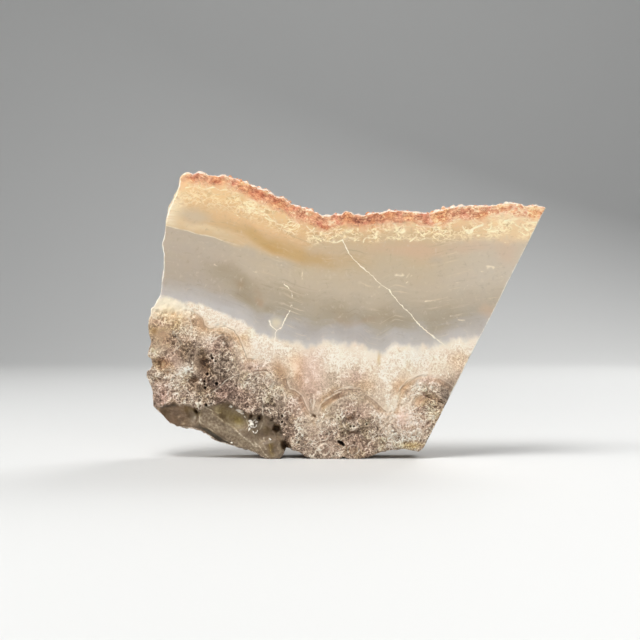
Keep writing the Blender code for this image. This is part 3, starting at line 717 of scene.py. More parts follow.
on_foot, on_saw, on_crust, on_break = (blurred((kind == k) * 1.0, 5)[:, 0] for k in range(4))
held = blurred((kind == 1) * 1.0, 2)
saw_run = saw_end[1] - saw_end[0]
saw_run /= np.linalg.norm(saw_run)
chamfer_share = 0.012


def ring(share):
    """The edge's loop at a share of the thickness, from 0 at the front face to 1 at the back. It
    strays from the front outline by a slow drift, a bow between the faces and a grain, and both
    corners are broken by a narrow chamfer. Near the saw cut it strays only along the cut."""
    y = np.full(count, (share - 0.5) * thickness)
    places = np.stack([loop[:, 0], y, loop[:, 1]], axis=-1)
    drift = share * np.stack([grit(places, 9.0, 31), grit(places, 9.0, 32)], axis=-1)
    drift = drift * (0.5 * on_crust + 1.0 * on_break + 0.6 * on_foot)[:, None]
    drift -= outward * (share * (0.35 * on_crust + 0.5 * on_break + 0.2 * on_foot))[:, None]
    inner = min(1.0, 9 * share * (1 - share) + 0.12)
    knobs = smooth(bubbles(places, 1.5, 6), 0.55, 0.1)
    grain = on_crust * (0.30 * weathered(places, 1.9, 4, 33) + 0.35 * knobs - 0.16)
    lumps = smooth(bubbles(places, 2.3, 4), 0.75, 0.1)
    grain += on_foot * (0.30 * weathered(places, 1.7, 3, 36) + 0.5 * lumps - 0.3)
    facets = np.round(1.4 * grit(places, 5.0, 39)) / 1.4
    grain += on_break * (0.45 * facets + 0.26 * weathered(places, 2.6, 4, 40) - 0.15)
    bow = 4 * share * (1 - share) * (0.3 * on_break + 0.15 * on_foot + 0.12 * on_crust)
    corner = math.exp(-((min(share, 1 - share) / chamfer_share) ** 2))
    chip = 0.06 + 0.10 * (1 - on_saw) * (1 + grit(places, 1.3, 43))
    stray = outward * (grain * inner + bow - corner * chip)[:, None] + drift
    along = np.sum(stray * saw_run, axis=1)[:, None] * saw_run
    stray = stray * (1 - held) + along * held
    pitted = smooth(-height_over(sinter_line, *loop.T), -0.5, 3.0)
    stray -= outward * (on_saw * sinter_texture(places, pitted, 8) * inner)[:, None]
    fine = 0.07 * grit(places, 0.9, 44) + on_crust * 0.12 * weathered(places, 1.3, 2, 45)
    bumps = smooth(bubbles(places, 1.3, 9), 0.6, 0.15) * smooth(grit(places, 4.0, 46), -0.5, 0.5)
    fine += on_crust * (0.42 * bumps - 0.10 + 0.16 * grit(places, 0.75, 47))
    rim = loop + fine[:, None] * outward * (1 - held) + stray
    return np.stack([rim[:, 0], np.maximum(rim[:, 1], 0)], axis=-1)


def face_of(edge, step):
    """A face's points from its edge loop, at every step-th column and row."""
    wide, tall = columns - 1, rows - 1
    foot = edge[: wide + 1 : step]
    right = edge[wide : wide + tall + 1 : step]
    crust = edge[wide + tall : 2 * wide + tall + 1 : step][::-1]
    left = np.concatenate([edge[2 * wide + tall :], edge[:1]])[::step][::-1]
    return stretched(foot, right, crust, left)


def rim_of(grid):
    """The ids round a face's grid of ids: foot, saw cut, crust and break in turn."""
    return np.concatenate([grid[0, :-1], grid[:-1, -1], grid[-1, :0:-1], grid[:0:-1, 0]])


def layers_at(x, y, z):
    """The x and z at which a spot's layers are looked up. The layers lie square to the front
    face there, and wander by up to about 2 mm on their way to the back."""
    places = np.stack([x, y, z], axis=-1)
    share = np.clip(y / thickness + 0.5, 0, 1)
    return x + 3.0 * share * grit(places, 13.0, 71), z + 2.4 * share * grit(places, 15.0, 72)


# The rings' shares of the thickness, closest at the two sharp corners.
depths = np.array([
    0, 0.004, 0.01, 0.02, 0.036, 0.06, 0.09, 0.13, 0.18, 0.24, 0.31, 0.39, 0.47, 0.55, 0.63, 0.71,
    0.79, 0.86, 0.92, 0.96, 0.988, 1,
])
rings = len(depths)
loops = [ring(share) for share in depths]

front_x, front_z = np.moveaxis(face_of(loops[0], 1), -1, 0)
sunk, broken, hollow, bladed = front_relief(front_x, front_z)
flat = np.stack([front_x, np.full(sunk.shape, -thickness / 2), front_z], axis=-1)
inside = shell_depth(front_x, front_z)
calm = tinted_by(calm_ovals, front_x, front_z)
pitted = smooth(inside, -2.5, 2.0) * (1 - 0.85 * broken) * (1 - 0.8 * np.clip(calm, 0, 1))
texture = sinter_texture(flat, pitted)
sunk = sunk + texture
rusty = smooth(height_over(crust_edge, front_x, front_z), -3.0, -1.0)
sunk += rusty * 0.22 * np.clip(0.4 + weathered(flat, 1.0, 3, 50), 0, 2)
front = np.stack([front_x, sunk - thickness / 2, front_z], axis=-1)

back = face_of(loops[-1], 2)
flat = np.stack([back[..., 0], np.full(back.shape[:-1], thickness / 2), back[..., 1]], axis=-1)
inside = shell_depth(*layers_at(*np.moveaxis(flat, -1, 0)))
pores = smooth(grit(flat, 2.3, 61), 0.35, 0.75) * smooth(inside, 0.5, 3.0)
texture_back = sinter_texture(flat, smooth(inside, -1.6, 2.4), 4)
sunk_back = texture_back + 0.6 * pores
back = np.stack([back[..., 0], thickness / 2 - sunk_back, back[..., 1]], axis=-1)

front_ids = np.arange(rows * columns).reshape(rows, columns)
band_ids = front_ids.size + np.arange((rings - 2) * count).reshape(rings - 2, count)
back_ids = front_ids.size + band_ids.size + np.arange(back[..., 0].size)
back_ids = back_ids.reshape(back.shape[:-1])

front_rim = front.reshape(-1, 3)[rim_of(front_ids)]
back_rim = back.reshape(-1, 3)[rim_of(back_ids) - back_ids[0, 0]]
back_depth = np.interp(
    np.arange(count), np.arange(0, count + 1, 2), np.append(back_rim[:, 1], back_rim[0, 1])
)
bands = []
for share, edge in zip(depths[1:-1], loops[1:-1]):
    y = front_rim[:, 1] + share * (back_depth - front_rim[:, 1])
    bands.append(np.stack([edge[:, 0], y, edge[:, 1]], axis=-1))
points = np.concatenate([front.reshape(-1, 3), np.concatenate(bands), back.reshape(-1, 3)])

# The skin's faces: squares on both faces and between the rings, and three triangles to each
# pair of squares where the last ring meets the coarser back face.
quads = [
    np.stack([front_ids[:-1, :-1], front_ids[:-1, 1:], front_ids[1:, 1:], front_ids[1:, :-1]], -1),
    np.stack([back_ids[:-1, :-1], back_ids[1:, :-1], back_ids[1:, 1:], back_ids[:-1, 1:]], -1),
]
circles = np.vstack([rim_of(front_ids), band_ids])
beyond = np.roll(circles, -1, axis=1)
quads.append(np.stack([circles[:-1], circles[1:], beyond[1:], beyond[:-1]], -1))
quads = np.concatenate([quad.reshape(-1, 4) for quad in quads])
fine = circles[-1]
coarse = rim_of(back_ids)
first, middle, last = fine[0::2], fine[1::2], np.roll(fine[0::2], -1)
ahead = np.roll(coarse, -1)
triangles = np.concatenate([
    np.stack([first, coarse, middle], -1), np.stack([middle, coarse, ahead], -1),
    np.stack([middle, ahead, last], -1),
])

# The skin stays inside the saw cuts and on the surface that the slice stands on.
low, high = (np.array(corner) * 1000 for corner in cad_box)
points = np.clip(points, low, high)

stone_mesh = bpy.data.meshes.new("slice_stone")
stone_mesh.from_pydata((points / 1000).tolist(), [], quads.tolist() + triangles.tolist())
stone_mesh.validate()
stone_mesh.polygons.foreach_set("use_smooth", np.ones(len(stone_mesh.polygons), bool))
stone_mesh.update()


def on_skin(front_values, band_values, back_values):
    """One value for each point of the skin, from those of the front face, one ring's or none,
    and the back face."""
    bands = np.tile(np.broadcast_to(band_values, count), rings - 2)
    return np.concatenate([
        np.broadcast_to(front_values, front_ids.shape).ravel(), bands,
        np.broadcast_to(back_values, back_ids.shape).ravel(),
    ])


x, z = layers_at(*points.T)
# How far a spot is from the nearest sharp edge of the slab, up to a limit.
far = 2.0
outline = [np.hypot(*off_line(line, front_x, front_z))
           for line in (foot_edge, saw_end, crust_edge, break_edge)]
front_gap = np.minimum(np.min(outline, axis=0), far)
band_gap = np.repeat(np.minimum(depths, 1 - depths)[1:-1] * thickness, count)
edge_gap = np.concatenate([front_gap.ravel(), band_gap, np.full(back_ids.size, far)])
# Where a spot looks up its broad ovals, its small ones and its strokes, and the sinter's.
places = np.stack([x, points[:, 1], z], axis=-1)
wandering = (
    x + 1.6 * grit(places, 6.0, 81) + 0.5 * grit(places, 2.0, 83),
    z + 1.0 * grit(places, 5.0, 82) + 0.3 * grit(places, 2.0, 84),
)
close = (x + 0.15 * grit(places, 1.2, 85), z + 0.15 * grit(places, 1.2, 86))
mild = (close[0] + 0.5 * grit(places, 3.0, 87), close[1] + 0.5 * grit(places, 3.0, 88))
into_rust = np.interp(x, *rust_reach.T) + height_over(crust_edge, x, z)
chalky = np.maximum(
    smooth(height_over(sinter_line, x, z), 1.2, -0.8), smooth(into_rust, -0.8, 0.6)
)
chalky *= (1 - 0.8 * on_skin(broken, 0, 0)) * (0.35 + 0.65 * smooth(shell_depth(x, z), 0.2, 4.5))
off_pinholes = np.min(
    np.hypot(x[:, None] - pinholes[:, 0], z[:, None] - pinholes[:, 1]) - pinholes[:, 2], axis=1
)
fields = {
    "chalky": chalky,
    "below_crust": -height_over(crust_edge, x, z),
    "above_sinter": height_over(sinter_line, x, z),
    "in_cream": height_over(cream_line, x, z),
    "in_shell": shell_depth(x, z),
    "broken": on_skin(broken, 0, 0),
    "hollow": on_skin(hollow, 0, 0.7 * pores),
    "blade": on_skin(bladed, 0, 0),
    "sunk": on_skin(texture, 0, texture_back),
    "crust_top": on_skin(0, on_crust, 0),
    "edge_gap": edge_gap,
    "into_rust": into_rust,
    "calm": tinted_by(calm_ovals, x, z),
    "pins": np.minimum(off_pinholes, off_strokes(black_slots, x, z)),
}
fields.update((name, off_strokes(lines, *close)) for name, lines in strokes.items())
for ovals, spots in ((broad_ovals, wandering), (sinter_ovals, mild), (small_ovals, close)):
    fields.update((name, tinted_by(group, *spots)) for name, group in ovals.items())
for name, values in fields.items():
    field = stone_mesh.attributes.new(name, "FLOAT", "POINT")
    field.data.foreach_set("value", np.ascontiguousarray(values, dtype=np.float32))
# Veins, each by its distance across and past its ends.
for name, line in (("vein", white_vein), ("fork_a", fork_left), ("fork_b", fork_right)):
    pair = off_line(line, x, z)
    field = stone_mesh.attributes.new(name, "FLOAT_VECTOR", "POINT")
    triple = np.stack([*pair, np.zeros_like(x)], axis=-1)
    field.data.foreach_set("vector", triple.astype(np.float32).ravel())

stone = bpy.data.objects.new("slice_stone", stone_mesh)
bpy.context.scene.collection.objects.link(stone)


# ---------------------------------------------------------------------------------------------
# The stone's material
# Milky opal that light enters a little way, with flow bands, a white vein and faint wisps. It
# passes into dull cream and brown sinter below, and into a rust-stained crust above.

stone_look = bpy.data.materials.new("banded_opal_and_sinter")
stone_look.use_nodes = True
stone_look.node_tree.nodes.clear()


class Field:
    """A number, colour or direction on its way through the stone's material: the socket that it
    comes out of. Sums, differences, products and quotients of numbers add Math nodes."""

    tree = stone_look.node_tree

    def __init__(self, socket):
        self.socket = socket

    @classmethod
    def of(cls, kind, settings=None, values=None, out=0):
        """A node of a kind: its settings first, then the values or links of its sockets."""
        node = cls.tree.nodes.new(kind)
        for name, value in (settings or {}).items():
            if name == "stops":
                ramp = node.color_ramp
                while len(ramp.elements) < len(value):
                    ramp.elements.new(0.5)
                for stop, (place, colour) in zip(ramp.elements, value):
                    stop.position = place
                    stop.color = colour
            else:
                setattr(node, name, value)
        for name, value in (values or {}).items():
            if isinstance(value, Field):
                cls.tree.links.new(value.socket, node.inputs[name])
            else:
                node.inputs[name].default_value = value
        return cls(node.outputs[out]) if node.outputs else None

    def math(self, operation, *others):
        values = dict(enumerate((self, *others)))
        return Field.of("ShaderNodeMath", {"operation": operation}, values)

    def __add__(self, other):
        return self.math("ADD", other)

    def __sub__(self, other):
        return self.math("SUBTRACT", other)

    def __mul__(self, other):
        return self.math("MULTIPLY", other)

    def __truediv__(self, other):
        return self.math("DIVIDE", other)

    __radd__, __rmul__ = __add__, __mul__

    def __rsub__(self, other):
        return Field.of("ShaderNodeMath", {"operation": "SUBTRACT"}, {0: other, 1: self})

    def __abs__(self):
        return self.math("ABSOLUTE")

    def smooth(self, low, high):
        """0 at low and 1 at high, easing in and out."""
        values = {"Value": self, "From Min": low, "From Max": high}
        return Field.of("ShaderNodeMapRange", {"interpolation_type": "SMOOTHSTEP"}, values)

    def near(self, middle, reach):
        """1 at the middle value, falling to 0 a reach away on either side."""
        return abs(self - middle).smooth(reach, 0)

    def painted(self, colour, share, blend="MIX"):
        """This colour with another laid over it by a share: a field, or a tone's numbers."""
        colour = colour if isinstance(colour, Field) else tone(*colour)
        settings = {"data_type": "RGBA", "blend_type": blend}
        return Field.of("ShaderNodeMix", settings, {0: share, 6: self, 7: colour}, out=2)

    def tinted(self, colour, share):
        """This colour multiplied by another, by a share."""
        return self.painted(colour, share, "MULTIPLY")

    def ramp(self, *stops):
        """The colour that a number stands for on a scale: each stop a place and a tone."""
        stops = [(place, tone(*colour)) for place, *colour in stops]
        return Field.of("ShaderNodeValToRGB", {"stops": stops}, {"Fac": self})

    def moved(self, other):
        """This place shifted by another field's three numbers."""
        return Field.of("ShaderNodeVectorMath", {"operation": "ADD"}, {0: self, 1: other})

    def scaled(self, factors):
        return Field.of("ShaderNodeVectorMath", {"operation": "MULTIPLY"}, {0: self, 1: factors})

    def part(self, axis):
        return Field.of("ShaderNodeSeparateXYZ", {}, {0: self}, out=axis)

    def noise(self, size, layers=2.0, rough=0.5, seed=0, out=0):
        """Cloudy noise round 0.5, with spots of a size in millimetres."""
        place = self.moved((seed * 31.7, seed * 17.3, seed * 23.9))
        values = {"Vector": place, "Scale": 1 / size, "Detail": layers, "Roughness": rough}
        return Field.of("ShaderNodeTexNoise", {}, values, out=out)

    def swing(self, reach, size, layers=2.0, rough=0.5, seed=0):
        """Cloudy noise round 0, times a reach."""
        return (self.noise(size, layers, rough, seed) - 0.5) * reach

    def cells(self, size):
        """The distance to the walls between cells of a size, as a share of that size."""
        settings = {"feature": "DISTANCE_TO_EDGE"}
        return Field.of("ShaderNodeTexVoronoi", settings, {"Vector": self, "Scale": 1 / size})

    def dots(self, size, out=0):
        """The distance to the nearest dot of one in each cell, or its random colour."""
        return Field.of("ShaderNodeTexVoronoi", {}, {"Vector": self, "Scale": 1 / size}, out=out)

    def stirred(self, size, reach, seed):
        """This place shifted by noise of a size, by up to about half a reach."""
        push = self.noise(size, 2, seed=seed, out=1)
        half = {0: push, 1: (0.5, 0.5, 0.5)}
        centred = Field.of("ShaderNodeVectorMath", {"operation": "SUBTRACT"}, half)
        return self.moved(centred.scaled((reach, reach, reach)))


def tone(red, green, blue):
    """A colour given as it looks on a screen, 0 to 255, as the linear numbers of a shader."""
    value = [(c / 255 / 12.92 if c < 10.3 else ((c / 255 + 0.055) / 1.055) ** 2.4)
             for c in (red, green, blue)]
    return (*value, 1.0)


def surface(name):
    """A number of the stone's fields that varies over its surface."""
    return Field.of("ShaderNodeAttribute", {"attribute_name": name}, out="Fac")


def joined(x, y, z):
    """A place made of three numbers."""
    return Field.of("ShaderNodeCombineXYZ", {}, {0: x, 1: y, 2: z})


def capped(share, most=1.0):
    """A share that is held at or under a most."""
    return share.math("MINIMUM", most)


place = Field.of("ShaderNodeTexCoord", out="Object").scaled((1000, 1000, 1000))
east, up = place.part(0), place.part(2)
drifted = place.stirred(7, 5, 1)
curled = place.stirred(1.4, 1.6, 2)

below_crust = surface("below_crust")
above_sinter = surface("above_sinter")
in_cream = surface("in_cream")
in_shell = surface("in_shell")
broken_share = surface("broken")
hollow_share = surface("hollow")
crust_top = surface("crust_top")
edge_gap = surface("edge_gap")

# Opal: flow bands between the sinter and the cream, with streaks along them and soft clouds.
level = above_sinter / (above_sinter + below_crust.math("MAXIMUM", 0.1))
flow = joined(drifted.part(0) * 0.09, place.part(1) * 0.2, level * 16)
streaks = Field.of(
    "ShaderNodeTexNoise", {}, {"Vector": flow, "Scale": 1.0, "Detail": 5.0, "Roughness": 0.6}
)
hairs = Field.of(
    "ShaderNodeTexNoise", {},
    {"Vector": flow.scaled((1.7, 1.0, 3.4)), "Scale": 1.0, "Detail": 4.0, "Roughness": 0.6},
)
banded = level + (streaks - 0.5) * 0.22 + drifted.swing(0.14, 9, 2, seed=3)
opal = banded.ramp(
    (0.0, 194, 189, 186), (0.10, 187, 180, 173), (0.19, 179, 167, 149),
    (0.30, 188, 173, 151), (0.42, 199, 183, 160), (0.60, 202, 183, 154),
    (0.78, 208, 181, 146),
)
violet = surface("lilac") * (0.4 + streaks * 0.6) * (0.45 + east.smooth(-20, -6) * 0.55)
grey_left = east.smooth(-14, -30) * level.smooth(0.02, 0.2)
blue_right = east.smooth(14, 30) * level.smooth(0.15, 0.5)
opal = (
    opal.painted((187, 172, 155), grey_left * (0.1 + streaks * 1.2))
    .painted((208, 196, 180), blue_right * 0.6)
    .painted((164, 147, 119), capped(surface("olive") * (0.1 + streaks * 0.9), 0.8))
    .painted((178, 142, 108), surface("amber") * 0.6)
    .painted((176, 168, 163), capped(violet, 0.9))
    .painted((214, 181, 152), surface("pink") * 0.85)
    .painted((230, 217, 188), capped(surface("funnel")) * 0.8)
)

# Cream: pale at the far left, deeper towards the opal, with an ochre streak along its foot.
cream_height = in_cream / (in_cream + below_crust).math("MAXIMUM", 0.1)
cream = (cream_height + (streaks - 0.5) * 0.6 + drifted.swing(0.5, 4, 3, seed=4)).ramp(
    (0.0, 214, 188, 150), (0.25, 216, 182, 138), (0.5, 228, 190, 142),
    (0.75, 240, 204, 152), (1.0, 234, 186, 138),
)
cream = (
    cream.painted((246, 216, 172), east.smooth(16, 32) * 0.65)
    .painted((240, 222, 186), capped(surface("pale")) * 0.85)
    .painted((236, 198, 164), surface("pink") * 0.6)
    .painted((206, 188, 162), capped(surface("veil")) * 0.8)
)
left_share = east.smooth(-19, -26)
blurry = 0.3 + (1 - left_share) * 1.6
creamy = in_cream + (drifted.noise(4, 3, seed=5) - 0.5) * (1 - left_share) * 3.0
stone_colour = opal.painted(cream, (creamy / blurry).smooth(-0.6, 0.6))
ochre = capped(surface("ochre")) * (0.75 + (streaks - 0.5) * 0.9)
stone_colour = stone_colour.painted((197, 157, 95), capped(ochre) * 0.92)
pale_edge = (in_cream + (hairs - 0.5) * 0.6).near(0.05, 0.20) * left_share
pale_edge = pale_edge * place.noise(2.0, 2, seed=6).smooth(0.35, 0.6)
stone_colour = stone_colour.painted((238, 226, 204), pale_edge * 0.65)
wispy = hairs.smooth(0.56, 0.72) * place.noise(6, 1, seed=7).smooth(0.42, 0.62)
smoky = hairs.smooth(0.44, 0.30) * place.noise(6, 1, seed=17).smooth(0.42, 0.62)
curdled = place.stirred(2.2, 2.4, 56).noise(0.9, 3, 0.6, seed=57) - 0.5
stone_colour = (
    stone_colour.painted((232, 214, 184), wispy * 0.50)
    .painted((150, 132, 108), smoky * 0.32)
    .painted((220, 206, 184), curdled.smooth(0.06, 0.26) * 0.34)
    .painted((146, 130, 108), curdled.smooth(-0.06, -0.26) * 0.26)
)

# Wisps: short light dashes along the flow, and curled light threads in the cream.
patchy = place.noise(1.3, 2, seed=8).smooth(0.36, 0.60)
dashes = surface("dashes").smooth(0.12, -0.08) * patchy
stone_colour = stone_colour.painted((244, 230, 204), dashes * 0.75)
thread_place = joined(curled.part(0) * 0.6, place.part(1) * 0.6, curled.part(2) * 1.1)
walls = thread_place.cells(1.15).smooth(0.09, 0.02)
loops = thread_place.noise(1.3, 1, 0.5, seed=9).near(0.5, 0.032)
loops = loops + thread_place.noise(0.8, 1, 0.5, seed=10).near(0.5, 0.044) * 0.9
thread_zone = below_crust.smooth(8.4, 5.0) * in_cream.smooth(-0.4, 0.3)
thread_zone = thread_zone * place.noise(3, 2, seed=11).smooth(0.36, 0.52)
thread_zone = thread_zone * (0.60 + east.smooth(-27, -18) * 0.40)
between = thread_place.noise(0.8, 3, 0.62, seed=39).smooth(0.48, 0.36) * thread_zone
stone_colour = stone_colour.painted((186, 150, 106), between * 0.50)
glow = thread_place.noise(0.8, 3, 0.62, seed=58).smooth(0.54, 0.66) * thread_zone
stone_colour = stone_colour.painted((250, 222, 168), glow * 0.45)
loose = capped(loops + walls * 0.5) * thread_zone
stone_colour = stone_colour.painted((255, 238, 198), loose)
drawn = surface("threads").smooth(0.06, -0.08) * (0.6 + patchy * 0.4)
stone_colour = stone_colour.painted((255, 244, 210), drawn * 0.96)
edge_streaks = east.smooth(-33.4, -36.0) * in_cream.smooth(0.2, 1.0)
edge_streaks = edge_streaks * hairs.smooth(0.42, 0.60)
stone_colour = stone_colour.painted((248, 240, 214), edge_streaks * 0.8)

# Veins: hairlines of white opal.
dashed = abs(up - 31.6).smooth(0.5, 1.2) * place.noise(0.8, 1, seed=48).smooth(0.40, 0.50)
fork_share = dashed.math("MAXIMUM", up.smooth(29.4, 28.4))
vein_share = 0.55 + place.noise(1.4, 2, seed=59).smooth(0.38, 0.52) * 0.45
for name, width, strength in (
    ("vein", 0.095, vein_share), ("fork_a", 0.20, 1.0), ("fork_b", 0.13, fork_share)
):
    both = Field.of("ShaderNodeAttribute", {"attribute_name": name}, out="Vector")
    wander = place.swing(0.6, 0.9, 3, 0.6, seed=12)
    wide = width * (0.7 + place.noise(2.4, 1, seed=13).smooth(0.35, 0.65) * 0.8)
    hairline = abs(both.part(0) + wander)
    hairline = (hairline / wide).smooth(1.25, 0.4) * both.part(1).smooth(0.4, 0)
    stone_colour = stone_colour.painted((252, 243, 222), hairline * strength)

# Sinter: chalky white against the opal, brown and pitted inside the shells. Its tone is one
# number, dark to light, and a scale of colours turns that into the stone's.
plumes = joined(drifted.part(0), place.part(1), drifted.part(2) * 0.5)
plumes = plumes.noise(2.6, 3, 0.5, seed=14) - 0.5
plume = east.smooth(-16, -8)
frill = place.stirred(1.2, 1.0, 60).noise(1.0, 3, 0.6, seed=61) - 0.5
sinter_edge = above_sinter + plumes * (2.6 + plume * 0.9) + frill * 1.0
sinter_share = (sinter_edge / (0.5 + plume * 0.4)).smooth(1.0, -0.9)
haze = (above_sinter + plumes * 5.0).smooth(3.8, 0.0) * 0.32
stone_colour = stone_colour.painted((214, 205, 195), haze)
deep = in_shell + drifted.swing(4.0, 2.8, 3, 0.6, seed=18)
shelled = deep.smooth(0.2, 4.5)
calm_share = capped(surface("calm"))
lively = sinter_edge + drifted.swing(3.0, 3, 2, seed=51) - (1 - plume) * 1.2
lively = lively.smooth(0.3, -3.0) * (0.46 + shelled * 0.44) * (1 - calm_share * 0.8)
rind_depth = in_shell + place.swing(0.25, 1.2, 2, seed=26)
rind_share = place.noise(4, 1, seed=27).smooth(0.28, 0.52) * east.smooth(-35, -27)
lively = lively * (1 - rind_depth.near(-0.1, 0.8) * rind_share * 0.7)
net = curled.stirred(0.8, 0.7, 5).cells(1.3)
fine_net = curled.stirred(0.5, 0.4, 6).cells(0.66)
lace = net.smooth(0.12, 0.02) * curled.noise(1.6, 2, seed=19).smooth(0.44, 0.58)
curls = curled.noise(0.9, 1, 0.5, seed=46).near(0.5, 0.05)
curls = curls * curled.noise(1.9, 1, seed=47).smooth(0.42, 0.56)
lace = lace.math("MAXIMUM", curls * 0.9)
fine_lace = fine_net.smooth(0.15, 0.03) * curled.noise(1.5, 2, seed=20).smooth(0.46, 0.60)
cell_shade = net.smooth(0.12, 0.45) * 0.10
speckle = place.noise(0.36, 2, 0.6, seed=15) - 0.5
mottle = curled.noise(1.6, 4, 0.62, seed=16) - 0.5
gaps = curled.noise(0.9, 2, 0.6, seed=23).smooth(0.39, 0.27) * east.smooth(-37, -28)
sparks = place.dots(1.5).smooth(0.20, 0.08) * place.dots(1.5, out=1).part(0).smooth(0.45, 0.55)
tan = (sinter_edge + drifted.swing(6.0, 4, 3, seed=42)).smooth(-3.4, -9.5)
light = 0.955 + drifted.swing(0.22, 5, 2, seed=25) + surface("shade")
light = light - (shelled * 0.415).math("MAXIMUM", tan * 0.31)
light = light - rind_depth.near(0.5, 0.6) * rind_share * 0.06
ring_depth = in_shell + place.swing(1.4, 2.2, 2, seed=43)
growth = Field.of(
    "ShaderNodeTexNoise", {"noise_dimensions": "1D"},
    {"W": ring_depth * 1.25, "Scale": 1.0, "Detail": 2.0, "Roughness": 0.6},
)
ringed = ring_depth.smooth(0.5, 1.2) * ring_depth.smooth(7.0, 4.0)
ringed = ringed * place.noise(2.6, 2, seed=44).smooth(0.38, 0.56)
light = light + growth.near(0.52, 0.05) * ringed * 0.18 - growth.near(0.40, 0.06) * ringed * 0.18
light = light + capped(surface("white")) * 0.26
tiny = place.noise(0.24, 1, 0.5, seed=62) - 0.5
texture = speckle * 1.32 + tiny * 0.9 + mottle * 0.50 + fine_lace * 0.54 - cell_shade - 0.12
texture = texture + lace * (0.24 + shelled * 0.20)
# Painted shade: the deeper the sinter's grown surface lies behind the saw's plane, the darker it
# is painted.
texture = texture - gaps * 0.22 + sparks * 0.42 - surface("sunk") * 0.20
light = light + texture * lively
pins = surface("pins")
light = light + pins.near(0.14, 0.13) * 0.32
sinter = light.ramp(
    (0.00, 72, 56, 44), (0.15, 104, 86, 71), (0.30, 133, 114, 97),
    (0.45, 161, 140, 121), (0.60, 189, 166, 144), (0.75, 216, 193, 168),
    (0.90, 238, 221, 198), (1.00, 250, 242, 226),
)
rosy = drifted.noise(5, 3, seed=28).smooth(0.44, 0.66) * (0.25 + shelled * 0.45)
mossy = drifted.noise(3, 2, seed=29).smooth(0.52, 0.68) * (0.25 + shelled * 0.45)
lemon = east.smooth(-28, -36) * up.smooth(18, 26)
sinter = (
    sinter.tinted((252, 238, 236), rosy)
    .tinted((246, 244, 226), mossy)
    .tinted((255, 240, 222), capped(surface("tan"), 1.2))
    .tinted((255, 243, 246), capped(surface("rose"), 1.2))
    .tinted((244, 250, 255), capped(surface("cool"), 1.2))
    .tinted((244, 222, 194), rind_depth.near(0.6, 0.8) * rind_share * 0.4)
    .tinted((226, 206, 150), capped(surface("sinter_green")) * 0.7)
    .tinted((250, 240, 212), lemon * 0.5)
)
# Growth lines, drawn over the grain: a brown one inside each shell and a pale one outside it.
arc_share = 0.35 + patchy * 0.65
rind_share = rind_share * (1 - east.smooth(8, 11) * 0.45)
sinter = (
    sinter.painted((146, 118, 94), rind_depth.near(0.14, 0.18) * rind_share * 0.56)
    .painted((242, 224, 200), rind_depth.near(-0.14, 0.15) * rind_share * 0.66)
)
reddish = east.smooth(14, 15.5)
brown = Field.of("ShaderNodeMix", {"data_type": "RGBA"},
                 {0: reddish, 6: tone(124, 98, 76), 7: tone(104, 68, 50)}, out=2)
sinter = (
    sinter.painted(brown, surface("brown_arcs").smooth(0.09, -0.06) * arc_share * 0.60)
    .painted((244, 229, 208), surface("pale_arcs").smooth(0.08, -0.06) * arc_share * 0.76)
)
stone_colour = stone_colour.painted(sinter, sinter_share)
stem = hairline * up.smooth(27.0, 25.6) * up.smooth(20.4, 21.6)
stone_colour = stone_colour.painted((250, 240, 224), stem * 0.85)

# The broken corner: smooth olive and brown opal, with fine light edges, some of them painted
# highlights, and painted shade under the blade and in the gap at its foot.
# Painted shade: the corner's ovals darken the strip under the blade and the gap at its foot.
corner = 0.43 + drifted.swing(0.8, 3.2, 3, 0.55, seed=30) + surface("corner_shade")
grain = place.noise(0.5, 3, 0.65, seed=31) - 0.5
corner = corner + surface("blade") * (0.10 + grain * 0.5) + grain * 0.45
# Painted highlight: the light lines along the blade's edges stand for its edges catching the
# light.
corner = corner + surface("corner_lines").smooth(0.16, -0.08) * (0.2 + patchy * 0.8) * 0.40
glassy = corner.ramp(
    (0.0, 48, 38, 28), (0.2, 84, 69, 50), (0.42, 120, 100, 78),
    (0.62, 156, 139, 114), (0.82, 202, 188, 164), (1.0, 240, 232, 214),
)
glassy = (
    glassy.tinted((238, 228, 148), capped(surface("corner_green")) * 0.9)
    .tinted((255, 236, 220), east.smooth(-30, -33) * 0.8)
)
stone_colour = stone_colour.painted(glassy, broken_share * 0.95)

# Crust: rust over the cream in streaks that run along it, with a thin pale rim that is a painted
# highlight.
crust_place = joined(
    east + place.swing(1.6, 1.2, 2, seed=40), place.part(1),
    below_crust * 2.2 + up * 0.3,
)
into_rust = surface("into_rust") + crust_place.swing(2.4, 2.4, 4, 0.62, seed=32)
rust_share = into_rust.smooth(-0.8, 0.6).math("MAXIMUM", crust_top)
far_left = east.smooth(-31.0, -33.0)
rust_share = rust_share * (1 - far_left * 0.85)
rust_level = (
    0.52 + crust_place.swing(1.3, 3.4, 4, 0.62, seed=34)
    + place.swing(1.1, 0.45, 3, 0.65, seed=35) - below_crust.smooth(1.1, 0.2) * 0.18
    + crust_place.noise(1.9, 2, 0.6, seed=41).near(0.5, 0.035) * 0.25
    - crust_place.noise(1.4, 2, 0.6, seed=52).near(0.5, 0.03)
    * (0.30 + east.smooth(10, 24) * 0.15)
    - east.smooth(26, 38) * 0.10 + capped(surface("red")) * 0.22
)
crumbs = place.dots(1.1).smooth(0.30, 0.14)
crumbs = crumbs * place.dots(1.1, out=1).part(0).smooth(0.54, 0.64)
rust_level = rust_level - crumbs * 0.46 - east.smooth(12, 22) * 0.10 + crust_top * 0.16
cracks = crust_place.cells(1.6).smooth(0.10, 0.02)
cracks = cracks * crust_place.noise(2, 1, seed=45).smooth(0.46, 0.60)
rust_level = rust_level - cracks * (0.2 + east.smooth(12, 26) * 0.3)
rust = rust_level.ramp(
    (0.0, 252, 228, 190), (0.2, 242, 202, 160), (0.4, 230, 170, 130),
    (0.6, 210, 145, 109), (0.8, 184, 117, 87), (1.0, 138, 86, 64),
)
